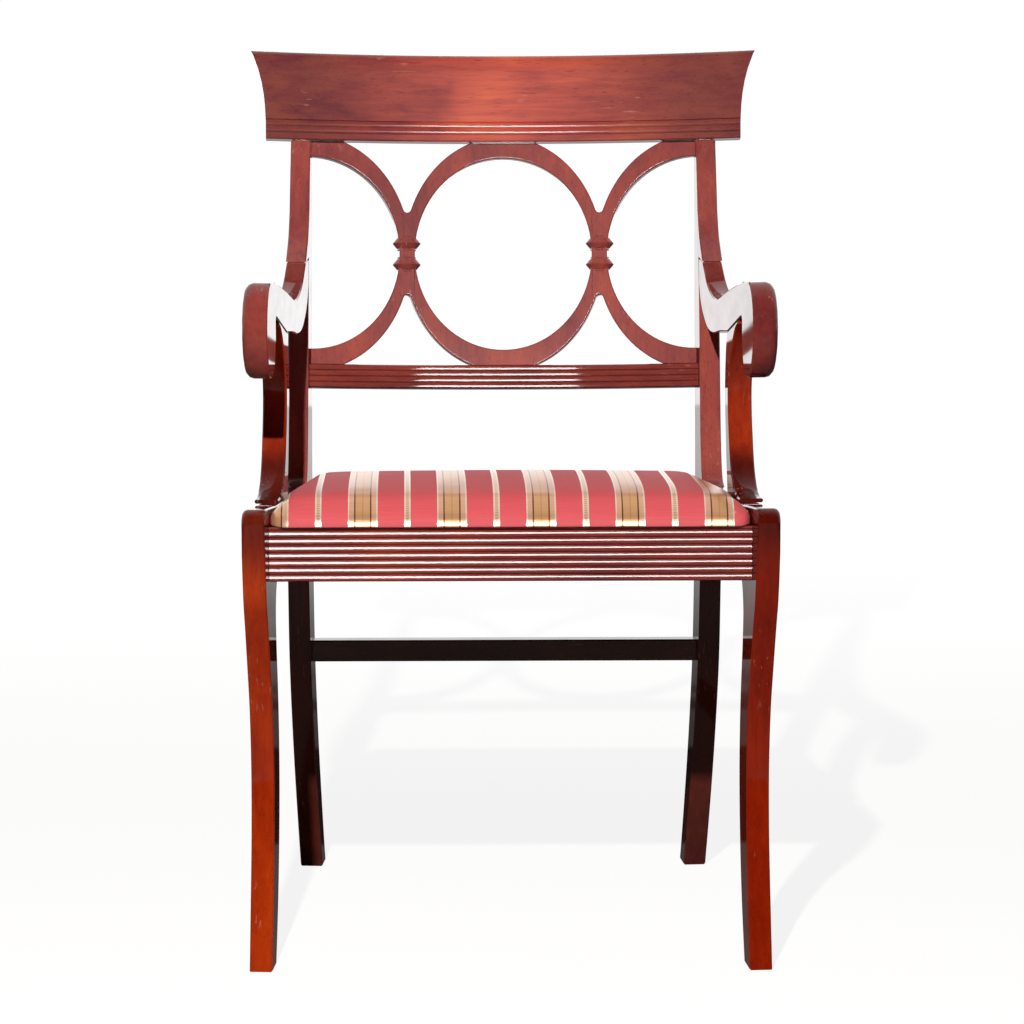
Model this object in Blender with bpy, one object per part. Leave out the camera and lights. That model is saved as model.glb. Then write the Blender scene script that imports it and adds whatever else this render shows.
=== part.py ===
"""Klismos armchair: sabre legs, scroll arms, a fretted oval back and a drop-in striped seat.

Metres, +Z up, floor at z = 0. The chair faces -Y, and +X is on the right of someone looking at its front.
"""
import math

import bmesh
import bpy
from mathutils import Matrix, Vector
from mathutils.geometry import interpolate_bezier

# Clearances and softened edges
GAP = 0.0003
EASE = 0.0014
SHARPEST_MITRE = 0.5
SEAT_CLEARANCE = 0.0012

# Side frames: flat boards that close in towards the back, lean out towards the top and share their inner face
BOARD = 0.023
LEG_THICK = 0.0232
LEG_FLARE = 0.0012
POST_THICK = 0.0238
POST_FLARE = -0.0035
ARM_THICK = 0.0231
ARM_TAPER = 0.0168
SUPPORT_THICK = 0.025
SIDE_RAIL_THICK = 0.0205
SIDE_HALF_WIDTH = 0.2396
SIDE_SPLAY = math.radians(5.03)
SIDE_LEAN = 0.010

# Seat rails, on a seat plane that falls towards the back
SEAT_FRONT_TOP = 0.4484
SEAT_RAKE = math.radians(5.0)
RAIL_HEIGHT = 0.0555
RAIL_LIP = 0.0165
FRONT_RAIL_FACE = -0.239
FRONT_RAIL_THICK = 0.024
FRONT_REEDS = 7
FRONT_REED_PITCH = 0.0074
FRONT_REED_DEPTH = 0.0030
REAR_RAIL_FACE = 0.134
REAR_RAIL_THICK = 0.024
SIDE_RAIL_FRONT = -0.158
SIDE_RAIL_BACK = 0.120

# Front leg: its two edges from the floor to the rail's underside, drawn at LEG_DRAWN_HEIGHT
LEG_DRAWN_HEIGHT = 0.393
LEG_FRONT_EDGE = [(-0.265, 0.0), (-0.2445, 0.070), (-0.2285, 0.130), (-0.2205, 0.185), (-0.2205, 0.225),
                  (-0.2255, 0.265), (-0.2375, 0.305), (-0.2505, 0.345), (-0.2625, 0.380)]
LEG_BACK_EDGE = [(-0.1655, 0.381), (-0.174, 0.370), (-0.180, 0.350), (-0.178, 0.315), (-0.172, 0.275),
                 (-0.169, 0.235), (-0.1705, 0.190), (-0.177, 0.145), (-0.188, 0.100), (-0.203, 0.055),
                 (-0.2275, 0.0)]
KNEE_FRONT = -0.2715
KNEE_RADIUS = 0.014
KNEE_CROWN = 0.001
LEG_TOP_RISE = 0.0211
KNEE_ROUND = 0.006
KNEE_ROUND_FADE = 0.045

# Back post: front edge and depth at heights up from the floor
POST_FRONT_EDGE = [(0.2333, 0.0), (0.210, 0.050), (0.180, 0.122), (0.1575, 0.190), (0.1445, 0.245), (0.140, 0.300),
                   (0.1405, 0.365), (0.145, 0.430), (0.158, 0.520), (0.180, 0.641), (0.200, 0.722),
                   (0.2215, 0.792), (0.240, 0.850)]
POST_DEPTHS = [(0.032, 0.0), (0.040, 0.122), (0.048, 0.300), (0.045, 0.430), (0.038, 0.641), (0.018, 0.792),
               (0.014, 0.850)]
KNUCKLE_TOP = 0.090
KNUCKLE_FOOT = 0.052
KNUCKLE_UNDER = (0.0035, 0.026)
KNUCKLE_OVER = (0.0155, 0.0085)
KNUCKLE_NECK = (0.0095, 0.043)
KNUCKLE_BLEND = 0.004

# Rear stretcher
STRETCHER_CENTRE = 0.2505
STRETCHER_HEIGHT = 0.023
STRETCHER_THICK = 0.018

# Bowed back, measured along its lean from the underside of the lower rail
BACK_LEAN = math.radians(12.8)
BACK_RADIUS = 1.05
BACK_FOOT_HEIGHT = 0.534
BACK_RECESS = 0.007
LOWER_RAIL_HEIGHT = 0.025
LOWER_RAIL_THICK = 0.018
LOWER_REEDS = 4
LOWER_REED_DEPTH = 0.0020
FRET_HEIGHT = 0.238
FRET_RING = 0.0163
FRET_NECK = 0.0165
FRET_SETBACK = 0.002
FRET_THICK = 0.015
FRET_OUTER_WIDTH = 0.1062
FRET_OUTER_HEIGHT = 0.126
CROTCH_RADIUS = 0.004
BEAD_WIDTH = 0.0285
BEAD_HEIGHT = 0.0126
BEAD_SPACING = 0.0226
BEAD_DEPTH = 0.0205
TONGUE_WIDTH = 0.020
TONGUE_THICK = 0.006
TONGUE_LENGTH = 0.007

# Crest rail
CREST_HEIGHT = 0.0945
CREST_FRONT = -0.007
CREST_THICK = 0.022
CREST_TOP_THICK = 0.015
CREST_DIP = 0.0012
CREST_FOOT_HALF = 0.2524
CREST_TOP_HALF = 0.2685
CREST_FLARE = 2.85
CREST_BAND = 0.0078
CREST_REEDS = 2
CREST_REED_PITCH = 0.0066
CREST_REED_DEPTH = 0.0016

# Scroll arm, drawn from the low point of its top edge; the scroll is an ellipse
ARM_HEIGHT = 0.641
ARM_TOP_EDGE = [(0.153, 0.026), (0.124, 0.0105), (0.098, 0.003), (0.069, 0.0), (0.040, 0.0025),
                (-0.033, 0.0196), (-0.089, 0.0315), (-0.143, 0.0425)]
ARM_UNDERSIDE = [(0.023, -0.030), (0.068, -0.0375), (0.107, -0.038), (0.141, -0.029), (0.164, -0.017)]
ARM_JOINT_FRONT = (-0.108, -0.0015)
ARM_JOINT_BACK = (-0.036, -0.0225)
ARM_END_TOP = 0.028
ARM_END_FOOT = 0.0
ARM_END_REACH = 0.0305
ARM_ROUND = 0.009
ARM_ROUND_SPAN = (-0.130, 0.080)
HORN_RISE = 0.078
HORN_EDGE = [(0.0195, 0.0110), (0.0072, 0.0255)]
SCROLL_CENTRE = (-0.1785, -0.0025)
SCROLL_HALF = (0.0395, 0.0485)
SCROLL_START = math.radians(72)
SCROLL_END = math.radians(345)
NOTCH = [(-0.1395, -0.001), (-0.137, 0.0045), (-0.131, 0.005)]

# Arm support, drawn at SUPPORT_DRAWN_HEIGHT up from the side rail's top
SUPPORT_DRAWN_HEIGHT = 0.186
SUPPORT_FRONT_EDGE = [(-0.089, 0.1722), (-0.063, 0.1460), (-0.0475, 0.1153), (-0.050, 0.0874), (-0.060, 0.0614),
                      (-0.075, 0.0326), (-0.095, 0.0135), (-0.118, 0.0062), (-0.138, 0.0042)]
SUPPORT_BACK_EDGE = [(-0.055, 0.0019), (-0.050, 0.0167), (-0.040, 0.0465), (-0.029, 0.0856), (-0.0245, 0.1097),
                     (-0.0275, 0.1469)]
SUPPORT_NOSE = 0.0036
SUPPORT_HEEL = 0.001
SUPPORT_DOWEL_SHARE = 0.72

# Tenons and dowels
TENON_LENGTH = 0.014
TENON_ROOT = 0.010
TENON_THICK = 0.010
TENON_SHOULDER = 0.008
POST_TENON = (0.013, 0.008, 0.028)
DOWEL_RADIUS = 0.004
DOWEL_LENGTH = 0.030

# Corner blocks and their screws
BLOCK_LEG = 0.062
BLOCK_EDGE = 0.010
BLOCK_HEIGHT = 0.030
BLOCK_SINK = 0.0004
SCREW_PLACE = 0.036
SCREW_SEAT = 0.014
SCREW_LENGTH = 0.029
SCREW_HEAD = 0.004
SCREW_HEAD_HEIGHT = 0.003
SCREW_SHANK = 0.002

# Drop-in seat, measured up from the seat plane
SEAT_LENGTH = 0.390
SEAT_CORNER = 0.014
DUST_COVER = 0.0008
DUST_MARGIN = 0.006
SEAT_FRAME_THICK = 0.013
SEAT_FRAME_WIDTH = 0.046
WEB_THICK = 0.0012
WEB_WIDTH = 0.050
WEB_COUNT = 3
WEB_RAMP = 0.010
WEB_MARGIN = 0.008
COVER_THICK = 0.0012
FOAM_GAP = 0.0008
PAD_SIDE = 0.0150
PAD_ROLL = 0.026
PAD_RISE = 0.0175
PAD_CROWN = 0.0075


def remove_everything():
    """Empties the file."""
    for thing in list(bpy.data.objects):
        bpy.data.objects.remove(thing, do_unlink=True)


def finish_material(name, colour, roughness, metallic=0.0):
    """A plain Principled material."""
    material = bpy.data.materials.new(name)
    material.use_nodes = True
    shader = material.node_tree.nodes["Principled BSDF"]
    shader.inputs["Base Color"].default_value = (*colour, 1.0)
    shader.inputs["Roughness"].default_value = roughness
    shader.inputs["Metallic"].default_value = metallic
    return material


def empty(name, parent=None, matrix=Matrix.Identity(4)):
    """A carrier that places other pieces."""
    carrier = bpy.data.objects.new(name, None)
    bpy.context.collection.objects.link(carrier)
    carrier.parent = parent
    carrier.matrix_local = matrix
    return carrier


def add_object(name, bm, parent, material=None):
    """Turns a bmesh into a named object under a carrier."""
    mesh = bpy.data.meshes.new(name)
    bm.to_mesh(mesh)
    bm.free()
    thing = bpy.data.objects.new(name, mesh)
    bpy.context.collection.objects.link(thing)
    thing.parent = parent
    if material:
        mesh.materials.append(material)
        PIECES.append(thing)
    else:
        thing.hide_render = True
        thing.display_type = "WIRE"
    return thing


def boolean(piece, tool, operation):
    """Joins a tool to a piece, or cuts it away."""
    modifier = piece.modifiers.new(tool.name, "BOOLEAN")
    modifier.operation = operation
    modifier.object = tool


def smooth(points, steps=5):
    """Points along a smooth curve through the given ones."""
    knots = [Vector((across, up, 0.0)) for across, up in points]
    last = len(knots) - 1
    slopes = [(knots[min(i + 1, last)] - knots[max(i - 1, 0)]).normalized() for i in range(last + 1)]
    curve = []
    for i in range(last):
        reach = (knots[i + 1] - knots[i]).length / 3
        handles = (knots[i] + slopes[i] * reach, knots[i + 1] - slopes[i + 1] * reach)
        curve += interpolate_bezier(knots[i], *handles, knots[i + 1], steps + 1)[:-1]
    curve.append(knots[-1])
    return [(point.x, point.y) for point in curve]


def arc(centre, half, start, end, steps):
    """Points along an arc of an ellipse."""
    angles = [start + (end - start) * i / steps for i in range(steps + 1)]
    return [(centre[0] + half[0] * math.cos(a), centre[1] + half[1] * math.sin(a)) for a in angles]


def straight(start, end, steps):
    """Points along a straight line with both its ends."""
    return [tuple(a + (b - a) * i / steps for a, b in zip(start, end)) for i in range(steps + 1)]


def read_curve(curve, height):
    """The first coordinate of a rising curve at a height."""
    for (low, z_low), (high, z_high) in zip(curve, curve[1:]):
        if height <= z_high:
            return low + (high - low) * (height - z_low) / (z_high - z_low)
    return curve[-1][0]


def reeds(face, foot, count, pitch, depth, steps=4):
    """A row of half-round reeds, upwards, as (depth, height) points; their crowns lie on the face."""
    points = []
    for i in range(count):
        for k in range(steps + 1):
            turn = math.pi * k / steps
            points.append((face + depth * (1 - math.sin(turn)), foot + pitch * (i + 0.5 - 0.5 * math.cos(turn))))
    return points


def tidy(outline, least=0.00005):
    """Drops points that repeat the one before."""
    kept = []
    for point in outline:
        if not kept or math.dist(point, kept[-1]) > least:
            kept.append(point)
    if math.dist(kept[0], kept[-1]) <= least:
        kept.pop()
    return kept


def loft(rings):
    """A closed solid skinned over rings of matching points, with filled ends."""
    bm = bmesh.new()
    loops = [[bm.verts.new(point) for point in ring] for ring in rings]
    count = len(loops[0])
    for low, high in zip(loops, loops[1:]):
        for i in range(count):
            j = (i + 1) % count
            bm.faces.new((low[i], low[j], high[j], high[i]))
    bm.faces.new(loops[0])
    bm.faces.new(loops[-1])
    bmesh.ops.recalc_face_normals(bm, faces=bm.faces)
    return bm


def soften(bm, edges):
    """Chamfers the given edges by the common easing."""
    bmesh.ops.bevel(bm, geom=edges, offset=EASE, offset_type="OFFSET", segments=1, profile=0.5,
                    affect="EDGES", clamp_overlap=True, material=-1)


def end_cap_edges(bm, sides):
    """The edges round the two faces that have more corners than the given number."""
    return list({edge for face in bm.faces if len(face.verts) > sides for edge in face.edges})


def trim(bm, point, normal):
    """Cuts away what lies beyond a plane and closes the cut."""
    everything = bm.verts[:] + bm.edges[:] + bm.faces[:]
    cut = bmesh.ops.bisect_plane(bm, geom=everything, dist=1e-7, plane_co=point, plane_no=normal, clear_outer=True)
    rim = [part for part in cut["geom_cut"] if isinstance(part, bmesh.types.BMEdge)]
    bmesh.ops.edgeloop_fill(bm, edges=rim)


def ring(radius, z, count, depth=None):
    """A level ring of points; depth squeezes it in Y."""
    deep = radius if depth is None else depth
    turns = [2 * math.pi * i / count for i in range(count)]
    return [(radius * math.cos(t), deep * math.sin(t), z) for t in turns]


def box_tool(name, size, matrix):
    """A hidden box, centred on a matrix, used to join or cut."""
    bm = bmesh.new()
    bmesh.ops.create_cube(bm, size=1.0, matrix=matrix @ Matrix.Diagonal((*size, 1.0)))
    return add_object(name, bm, CHAIR)


def tenon(piece, socket, name, size, matrix):
    """Gives a piece a tongue, and cuts the mortise for it in the socket."""
    boolean(piece, box_tool(name + "_tongue", size, matrix), "UNION")
    boolean(socket, box_tool(name + "_mortise", [side + 2 * GAP for side in size], matrix), "DIFFERENCE")


# Side frames

def side_matrix(side):
    """Places the outer face of one side frame."""
    return Matrix.Translation((side * SIDE_HALF_WIDTH, 0, 0)) @ Matrix.Rotation(side * SIDE_SPLAY, 4, "Z")


def inner_half(y, z):
    """Half the width between the inner faces of the side frames."""
    lean = (BOARD - SIDE_LEAN * z) / math.cos(SIDE_SPLAY)
    return SIDE_HALF_WIDTH - lean - y * math.tan(SIDE_SPLAY)


def seat_z(y):
    """Height of the seat plane."""
    return SEAT_FRONT_TOP - math.tan(SEAT_RAKE) * (y - FRONT_RAIL_FACE)


def rail_top(y):
    """Height of the side rails' top edge."""
    return seat_z(y) + RAIL_LIP


def rail_foot(y):
    """Height of the side rails' underside."""
    return seat_z(y) - RAIL_HEIGHT


def inset(outline, depths):
    """An outline drawn in at each point by a depth of its own."""
    count = len(outline)
    area = sum(a[0] * b[1] - b[0] * a[1] for a, b in zip(outline, outline[1:] + outline[:1]))
    turn = math.copysign(1.0, area)
    drawn = []
    for i, depth in enumerate(depths):
        here = Vector(outline[i])
        sides = (here - Vector(outline[i - 1]), Vector(outline[(i + 1) % count]) - here)
        first, second = [Vector((-step.y, step.x)).normalized() for step in sides]
        mitre = (first + second) / max(1 + first.dot(second), SHARPEST_MITRE)
        drawn.append(tuple(here + mitre * turn * depth))
    return drawn


def plain_edge(y, z):
    """Rounding of an ordinary edge."""
    return EASE


def fade(value, start, end):
    """Goes smoothly from 0 at the start to 1 at the end."""
    share = min(max((value - start) / (end - start), 0.0), 1.0)
    return share * share * (3 - 2 * share)


def board(name, outline, side, thick, flare=0.0, taper=0.0, rounding=plain_edge, steps=1):
    """A board of the side frame, cut to an outline in (y, z) with rounded outer edges.

    Flare thickens it upwards and taper thins it towards the back.
    """
    outline = tidy(outline)
    radii = [rounding(y, z) for y, z in outline]
    rings = []
    for k in range(steps + 1):
        swing = math.pi / 2 * k / steps
        edge = inset(outline, [radius * (1 - math.sin(swing)) for radius in radii])
        sink = [radius * (1 - math.cos(swing)) for radius in radii]
        rings.append([(side * (thick - BOARD + flare * z - taper * y - s), y, z) for (y, z), s in zip(edge, sink)])
    rings.append([(side * (EASE - BOARD), y, z) for y, z in outline])
    rings.append([(-side * BOARD, y, z) for y, z in inset(outline, [EASE] * len(outline))])
    bm = loft(rings)
    lean = Matrix.Identity(4)
    lean[0][2] = side * SIDE_LEAN
    bmesh.ops.transform(bm, matrix=lean, verts=bm.verts)
    return add_object(name, bm, SIDES[side], MAHOGANY)


def mid_board(side, y, z):
    """A point half way through the side rail's thickness, in the side frame's own space."""
    return Vector((side * (SIDE_LEAN * z - BOARD + SIDE_RAIL_THICK / 2), y, z))


def post_front(height):
    """Front edge of the back post at a height."""
    return read_curve(smooth(POST_FRONT_EDGE), height)


def post_back(height):
    """Back edge of the back post at a height."""
    return post_front(height) + read_curve(smooth(POST_DEPTHS), height)


def front_leg_outline():
    """Sabre leg with its knee block, whose back edge meets the side rail."""
    stretch = rail_foot(FRONT_RAIL_FACE) / LEG_DRAWN_HEIGHT
    front = [(y, z * stretch) for y, z in LEG_FRONT_EDGE]
    back = [(y, z * stretch) for y, z in LEG_BACK_EDGE]
    top = SEAT_FRONT_TOP + LEG_TOP_RISE
    joint = SIDE_RAIL_FRONT - GAP
    knee_start = (KNEE_FRONT, top - KNEE_RADIUS)
    knee_centre = (KNEE_FRONT + KNEE_RADIUS, top - KNEE_RADIUS)
    knee = arc(knee_centre, (KNEE_RADIUS, KNEE_RADIUS), math.pi, math.pi / 2, 5)
    middle = (KNEE_FRONT + joint) / 2
    crown = (middle, (top + rail_top(joint)) / 2 + KNEE_CROWN)
    ramp = smooth([knee[-1], crown, (joint, rail_top(joint))])
    return smooth(front + [knee_start]) + knee + ramp + smooth([(joint, rail_foot(joint))] + back)


def knee_rounding(y, z):
    """Rounding of the leg's edges: fuller over the knee, plain below and at the side rail."""
    top = SEAT_FRONT_TOP + LEG_TOP_RISE
    over_knee = fade(z, top - KNEE_ROUND_FADE, top - KNEE_RADIUS)
    ahead_of_rail = 1 - fade(y, KNEE_FRONT + KNEE_RADIUS, SIDE_RAIL_FRONT - KNEE_RADIUS)
    return EASE + (KNEE_ROUND - EASE) * over_knee * ahead_of_rail


def side_rail_outline():
    """Seat rail between the knee block and the post's knuckle."""
    ends = (SIDE_RAIL_FRONT, SIDE_RAIL_BACK)
    return [(y, rail_foot(y)) for y in ends] + [(y, rail_top(y)) for y in reversed(ends)]


def post_outline():
    """Stile and rear sabre leg in one, with a knuckle that meets the side rail."""
    joint = SIDE_RAIL_BACK + GAP
    low, high = rail_foot(joint), rail_top(joint)
    under = low - KNUCKLE_FOOT
    over = high + KNUCKLE_TOP
    edge = smooth(POST_FRONT_EDGE)
    knuckle_under = [(post_front(under), under), (post_front(low) - KNUCKLE_UNDER[0], low - KNUCKLE_UNDER[1]),
                     (joint, low)]
    knuckle_over = [(joint, high), (joint + KNUCKLE_OVER[0], high + KNUCKLE_OVER[1]),
                    (post_front(over) - KNUCKLE_NECK[0], high + KNUCKLE_NECK[1]), (post_front(over), over)]
    below = [point for point in edge if point[1] < under - KNUCKLE_BLEND]
    horn = horn_outline()
    stile = [point for point in edge if over + KNUCKLE_BLEND < point[1] < horn[0][1] - KNUCKLE_BLEND]
    above = [point for point in edge if point[1] > horn[-1][1] + KNUCKLE_BLEND]
    front = below + smooth(knuckle_under) + smooth(knuckle_over) + stile + horn + above
    back = [(post_back(z), z) for y, z in reversed(edge)]
    return cut_outline(front + back, crest_seat(), back_up())


def cut_outline(outline, point, normal):
    """The part of an outline on the near side of a line."""
    kept = []
    for i, here in enumerate(outline):
        there = outline[(i + 1) % len(outline)]
        a = (here[0] - point[0]) * normal[0] + (here[1] - point[1]) * normal[1]
        b = (there[0] - point[0]) * normal[0] + (there[1] - point[1]) * normal[1]
        if a <= 0:
            kept.append(here)
        if a * b < 0:
            share = a / (a - b)
            kept.append((here[0] + share * (there[0] - here[0]), here[1] + share * (there[1] - here[1])))
    return kept


def arm_point(point):
    """A point of the arm's drawing at its height over the floor."""
    return (point[0], point[1] + ARM_HEIGHT)


def horn_foot():
    """Tip of the post's horn, over the end of the arm."""
    z = ARM_HEIGHT + ARM_END_TOP
    return (post_front(z) - ARM_END_REACH, z)


def horn_outline():
    """Horn that carries the arm's top edge up into the post, from its underside upwards."""
    y, z = horn_foot()
    top = ARM_HEIGHT + HORN_RISE
    points = [(post_front(z + up) - ahead, z + up) for ahead, up in HORN_EDGE]
    return [(post_front(z), z)] + smooth([(y, z)] + points + [(post_front(top), top)])


def arm_outline():
    """Scroll arm, from its end under the post's horn round the scroll and back underneath."""
    end_top = ARM_HEIGHT + ARM_END_TOP - GAP
    end_foot = ARM_HEIGHT + ARM_END_FOOT
    rise = [end_foot + (end_top - end_foot) * i / 3 for i in range(4)]
    end = [(post_front(z) - GAP, z) for z in rise]
    top = smooth([(horn_foot()[0], end_top)] + [arm_point(p) for p in ARM_TOP_EDGE], 4)
    scroll = arc(arm_point(SCROLL_CENTRE), SCROLL_HALF, SCROLL_START, SCROLL_END, 22)
    notch = smooth([scroll[-1]] + [arm_point(p) for p in NOTCH + [ARM_JOINT_FRONT]], 3)
    under = smooth([arm_point(p) for p in [ARM_JOINT_BACK] + ARM_UNDERSIDE] + [end[0]])
    return end + top + scroll + notch + under


def arm_rounding(y, z):
    """Rounding of the arm's edges: full on top and on the scroll, plain at its joints."""
    forward = 1 - fade(y, *ARM_ROUND_SPAN)
    notch = arm_point(NOTCH[0])
    clear = fade(math.dist((y, z), notch), 0.5 * SCROLL_HALF[0], 1.2 * SCROLL_HALF[0])
    return EASE + (ARM_ROUND - EASE) * forward * clear


def support_outline():
    """Curved arm support, from the toe on the side rail up to the arm."""
    def place(point):
        y, rise = point
        low = rail_top(y) + GAP
        return (y, low + rise * (ARM_HEIGHT - low) / SUPPORT_DRAWN_HEIGHT)

    head_front = (ARM_JOINT_FRONT[0], arm_point(ARM_JOINT_FRONT)[1] - GAP)
    head_back = (ARM_JOINT_BACK[0], arm_point(ARM_JOINT_BACK)[1] - GAP)
    nose = (head_front[0], head_front[1] - SUPPORT_NOSE)
    front = [head_front] + smooth([nose] + [place(point) for point in SUPPORT_FRONT_EDGE])
    toe = (SUPPORT_FRONT_EDGE[-1][0], rail_top(SUPPORT_FRONT_EDGE[-1][0]) + GAP)
    heel = (SUPPORT_BACK_EDGE[0][0] - SUPPORT_HEEL, rail_top(SUPPORT_BACK_EDGE[0][0]) + GAP)
    back = smooth([place(point) for point in SUPPORT_BACK_EDGE] + [head_back])
    return front + [toe, heel] + back


def dowel(name, side, centre, direction, pieces):
    """A hidden dowel across a joint, with its hole in both pieces."""
    turn = Vector((0, *direction)).to_track_quat("Z", "X").to_matrix().to_4x4()
    place = Matrix.Translation(mid_board(side, *centre)) @ turn
    for label, grow, material in ((name, 0.0, BEECH), (name + "_hole", GAP, None)):
        bm = bmesh.new()
        radius = DOWEL_RADIUS + grow
        bmesh.ops.create_cone(bm, cap_ends=True, segments=12, radius1=radius, radius2=radius,
                              depth=DOWEL_LENGTH + 2 * grow, matrix=place)
        thing = add_object(label, bm, SIDES[side], material)
    for piece in pieces:
        boolean(piece, thing, "DIFFERENCE")


# Straight rails across the chair

def cross_rail(name, profile, material):
    """A rail cut from a profile in (y, z), as long as the side frames allow."""
    profile = tidy(profile)
    ends = [[(side * (inner_half(y, z) - GAP), y, z) for y, z in profile] for side in (-1, 1)]
    return add_object(name, loft(ends), CHAIR, material)


def cross_tenons(piece, sockets, name, y, z, thick, tall):
    """A tenon on each end of a cross rail."""
    for side in (-1, 1):
        length = TENON_LENGTH + TENON_ROOT
        x = side * (inner_half(y, z) + (TENON_LENGTH - TENON_ROOT) / 2)
        place = Matrix.Translation((x, y, z))
        tenon(piece, sockets[side], f"{name}_{SIDE_NAMES[side]}", (length, thick, tall), place)


def eased_box(y, z, deep, tall):
    """A rectangle in (y, z) from its front bottom corner, with chamfered corners."""
    return [(y + EASE, z), (y + deep - EASE, z), (y + deep, z + EASE), (y + deep, z + tall - EASE),
            (y + deep - EASE, z + tall), (y + EASE, z + tall), (y, z + tall - EASE), (y, z + EASE)]


def front_rail():
    """Front seat rail with its row of reeds."""
    foot = SEAT_FRONT_TOP - RAIL_HEIGHT
    back = FRONT_RAIL_FACE + FRONT_RAIL_THICK
    face = reeds(FRONT_RAIL_FACE, foot, FRONT_REEDS, FRONT_REED_PITCH, FRONT_REED_DEPTH)
    lip = FRONT_RAIL_FACE + FRONT_REED_DEPTH / 2
    profile = [(back, foot)] + face + [(lip, foot + FRONT_REEDS * FRONT_REED_PITCH + EASE), (lip, seat_z(lip)),
                                       (back, seat_z(back))]
    return cross_rail("front_seat_rail", profile, MAHOGANY)


def rear_rail():
    """Plain rear seat rail; its top lies on the seat plane."""
    back = REAR_RAIL_FACE + REAR_RAIL_THICK
    foot = seat_z(REAR_RAIL_FACE) - RAIL_HEIGHT
    under = [(REAR_RAIL_FACE, foot + EASE), (REAR_RAIL_FACE + EASE, foot), (back - EASE, foot), (back, foot + EASE)]
    profile = under + [(back, seat_z(back)), (REAR_RAIL_FACE, seat_z(REAR_RAIL_FACE))]
    return cross_rail("rear_seat_rail", profile, MAHOGANY)


def stretcher():
    """Plain stretcher between the back legs."""
    middle = (post_front(STRETCHER_CENTRE) + post_back(STRETCHER_CENTRE)) / 2
    profile = eased_box(middle - STRETCHER_THICK / 2, STRETCHER_CENTRE - STRETCHER_HEIGHT / 2, STRETCHER_THICK,
                        STRETCHER_HEIGHT)
    return cross_rail("rear_stretcher", profile, MAHOGANY)


# Bowed back: u runs across along the bow, v up the lean, w from the front face backwards

def back_sag():
    """How far the middle of the bow lies behind its ends at the posts."""
    half = inner_half(post_front(BACK_FOOT_HEIGHT), BACK_FOOT_HEIGHT)
    return BACK_RADIUS - math.sqrt(BACK_RADIUS ** 2 - half ** 2)


def back_matrix():
    """Places the bowed back: the middle of the lower rail's foot, leaning."""
    y = post_front(BACK_FOOT_HEIGHT) + BACK_RECESS + back_sag() * math.cos(BACK_LEAN)
    z = BACK_FOOT_HEIGHT - back_sag() * math.sin(BACK_LEAN)
    return Matrix.Translation((0, y, z)) @ Matrix.Rotation(-BACK_LEAN, 4, "X")


def back_up():
    """Direction up the lean, in (y, z)."""
    return (math.sin(BACK_LEAN), math.cos(BACK_LEAN))


def crest_foot():
    """Distance of the crest's underside up the lean."""
    return LOWER_RAIL_HEIGHT + FRET_HEIGHT + 2 * GAP


def crest_seat():
    """A point of the crest's underside, less a gap, in (y, z)."""
    place = back_matrix() @ Vector((0, 0, crest_foot() - GAP))
    return (place.y, place.z)


def bow(u, v, w):
    """A point of the flat back on its bow."""
    turn = u / BACK_RADIUS
    reach = BACK_RADIUS + w
    return (reach * math.sin(turn), reach * math.cos(turn) - BACK_RADIUS, v)


def bow_across(x, v, w):
    """A point of the bowed back by its distance across the chair, so that an end is cut square."""
    return bow(BACK_RADIUS * math.asin(x / (BACK_RADIUS + w)), v, w)


def bow_matrix(u, v, w):
    """A frame on the bow: X across, Y backwards, Z up the lean."""
    return Matrix.Translation(bow(u, v, w)) @ Matrix.Rotation(-u / BACK_RADIUS, 4, "Z")


def trim_to_posts(bm):
    """Cuts a piece of the back to length between the posts."""
    into_back = back_matrix().inverted()
    for side in (-1, 1):
        frame = into_back @ side_matrix(side)
        point = frame @ Vector((-side * (BOARD + GAP), 0, 0))
        normal = frame.to_3x3() @ Vector((side, 0, -SIDE_LEAN))
        trim(bm, point, normal.normalized())


def lower_back_rail():
    """Reeded lower rail, bowed with the back."""
    pitch = LOWER_RAIL_HEIGHT / LOWER_REEDS
    face = reeds(0.0, 0.0, LOWER_REEDS, pitch, LOWER_REED_DEPTH)
    profile = tidy([(LOWER_RAIL_THICK, 0.0)] + face + [(LOWER_RAIL_THICK, LOWER_RAIL_HEIGHT)])
    reach = SIDE_HALF_WIDTH
    steps = 14
    stations = [reach * (2 * i / steps - 1) for i in range(steps + 1)]
    bm = loft([[bow(u, v, w) for w, v in profile] for u in stations])
    trim_to_posts(bm)
    return add_object("lower_back_rail", bm, BACK, MAHOGANY)


def split_face(start, end):
    """Cuts the face that two corners share along the line between them."""
    shared = next(face for face in start.link_faces if end in face.verts)
    bmesh.utils.face_split(shared, start, end)


def crest_half(v):
    """Half the crest's width at a height: its ends flare out towards the top."""
    share = min(max(v / CREST_HEIGHT, 0.0), 1.0)
    return CREST_FOOT_HALF + (CREST_TOP_HALF - CREST_FOOT_HALF) * share ** CREST_FLARE


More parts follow.
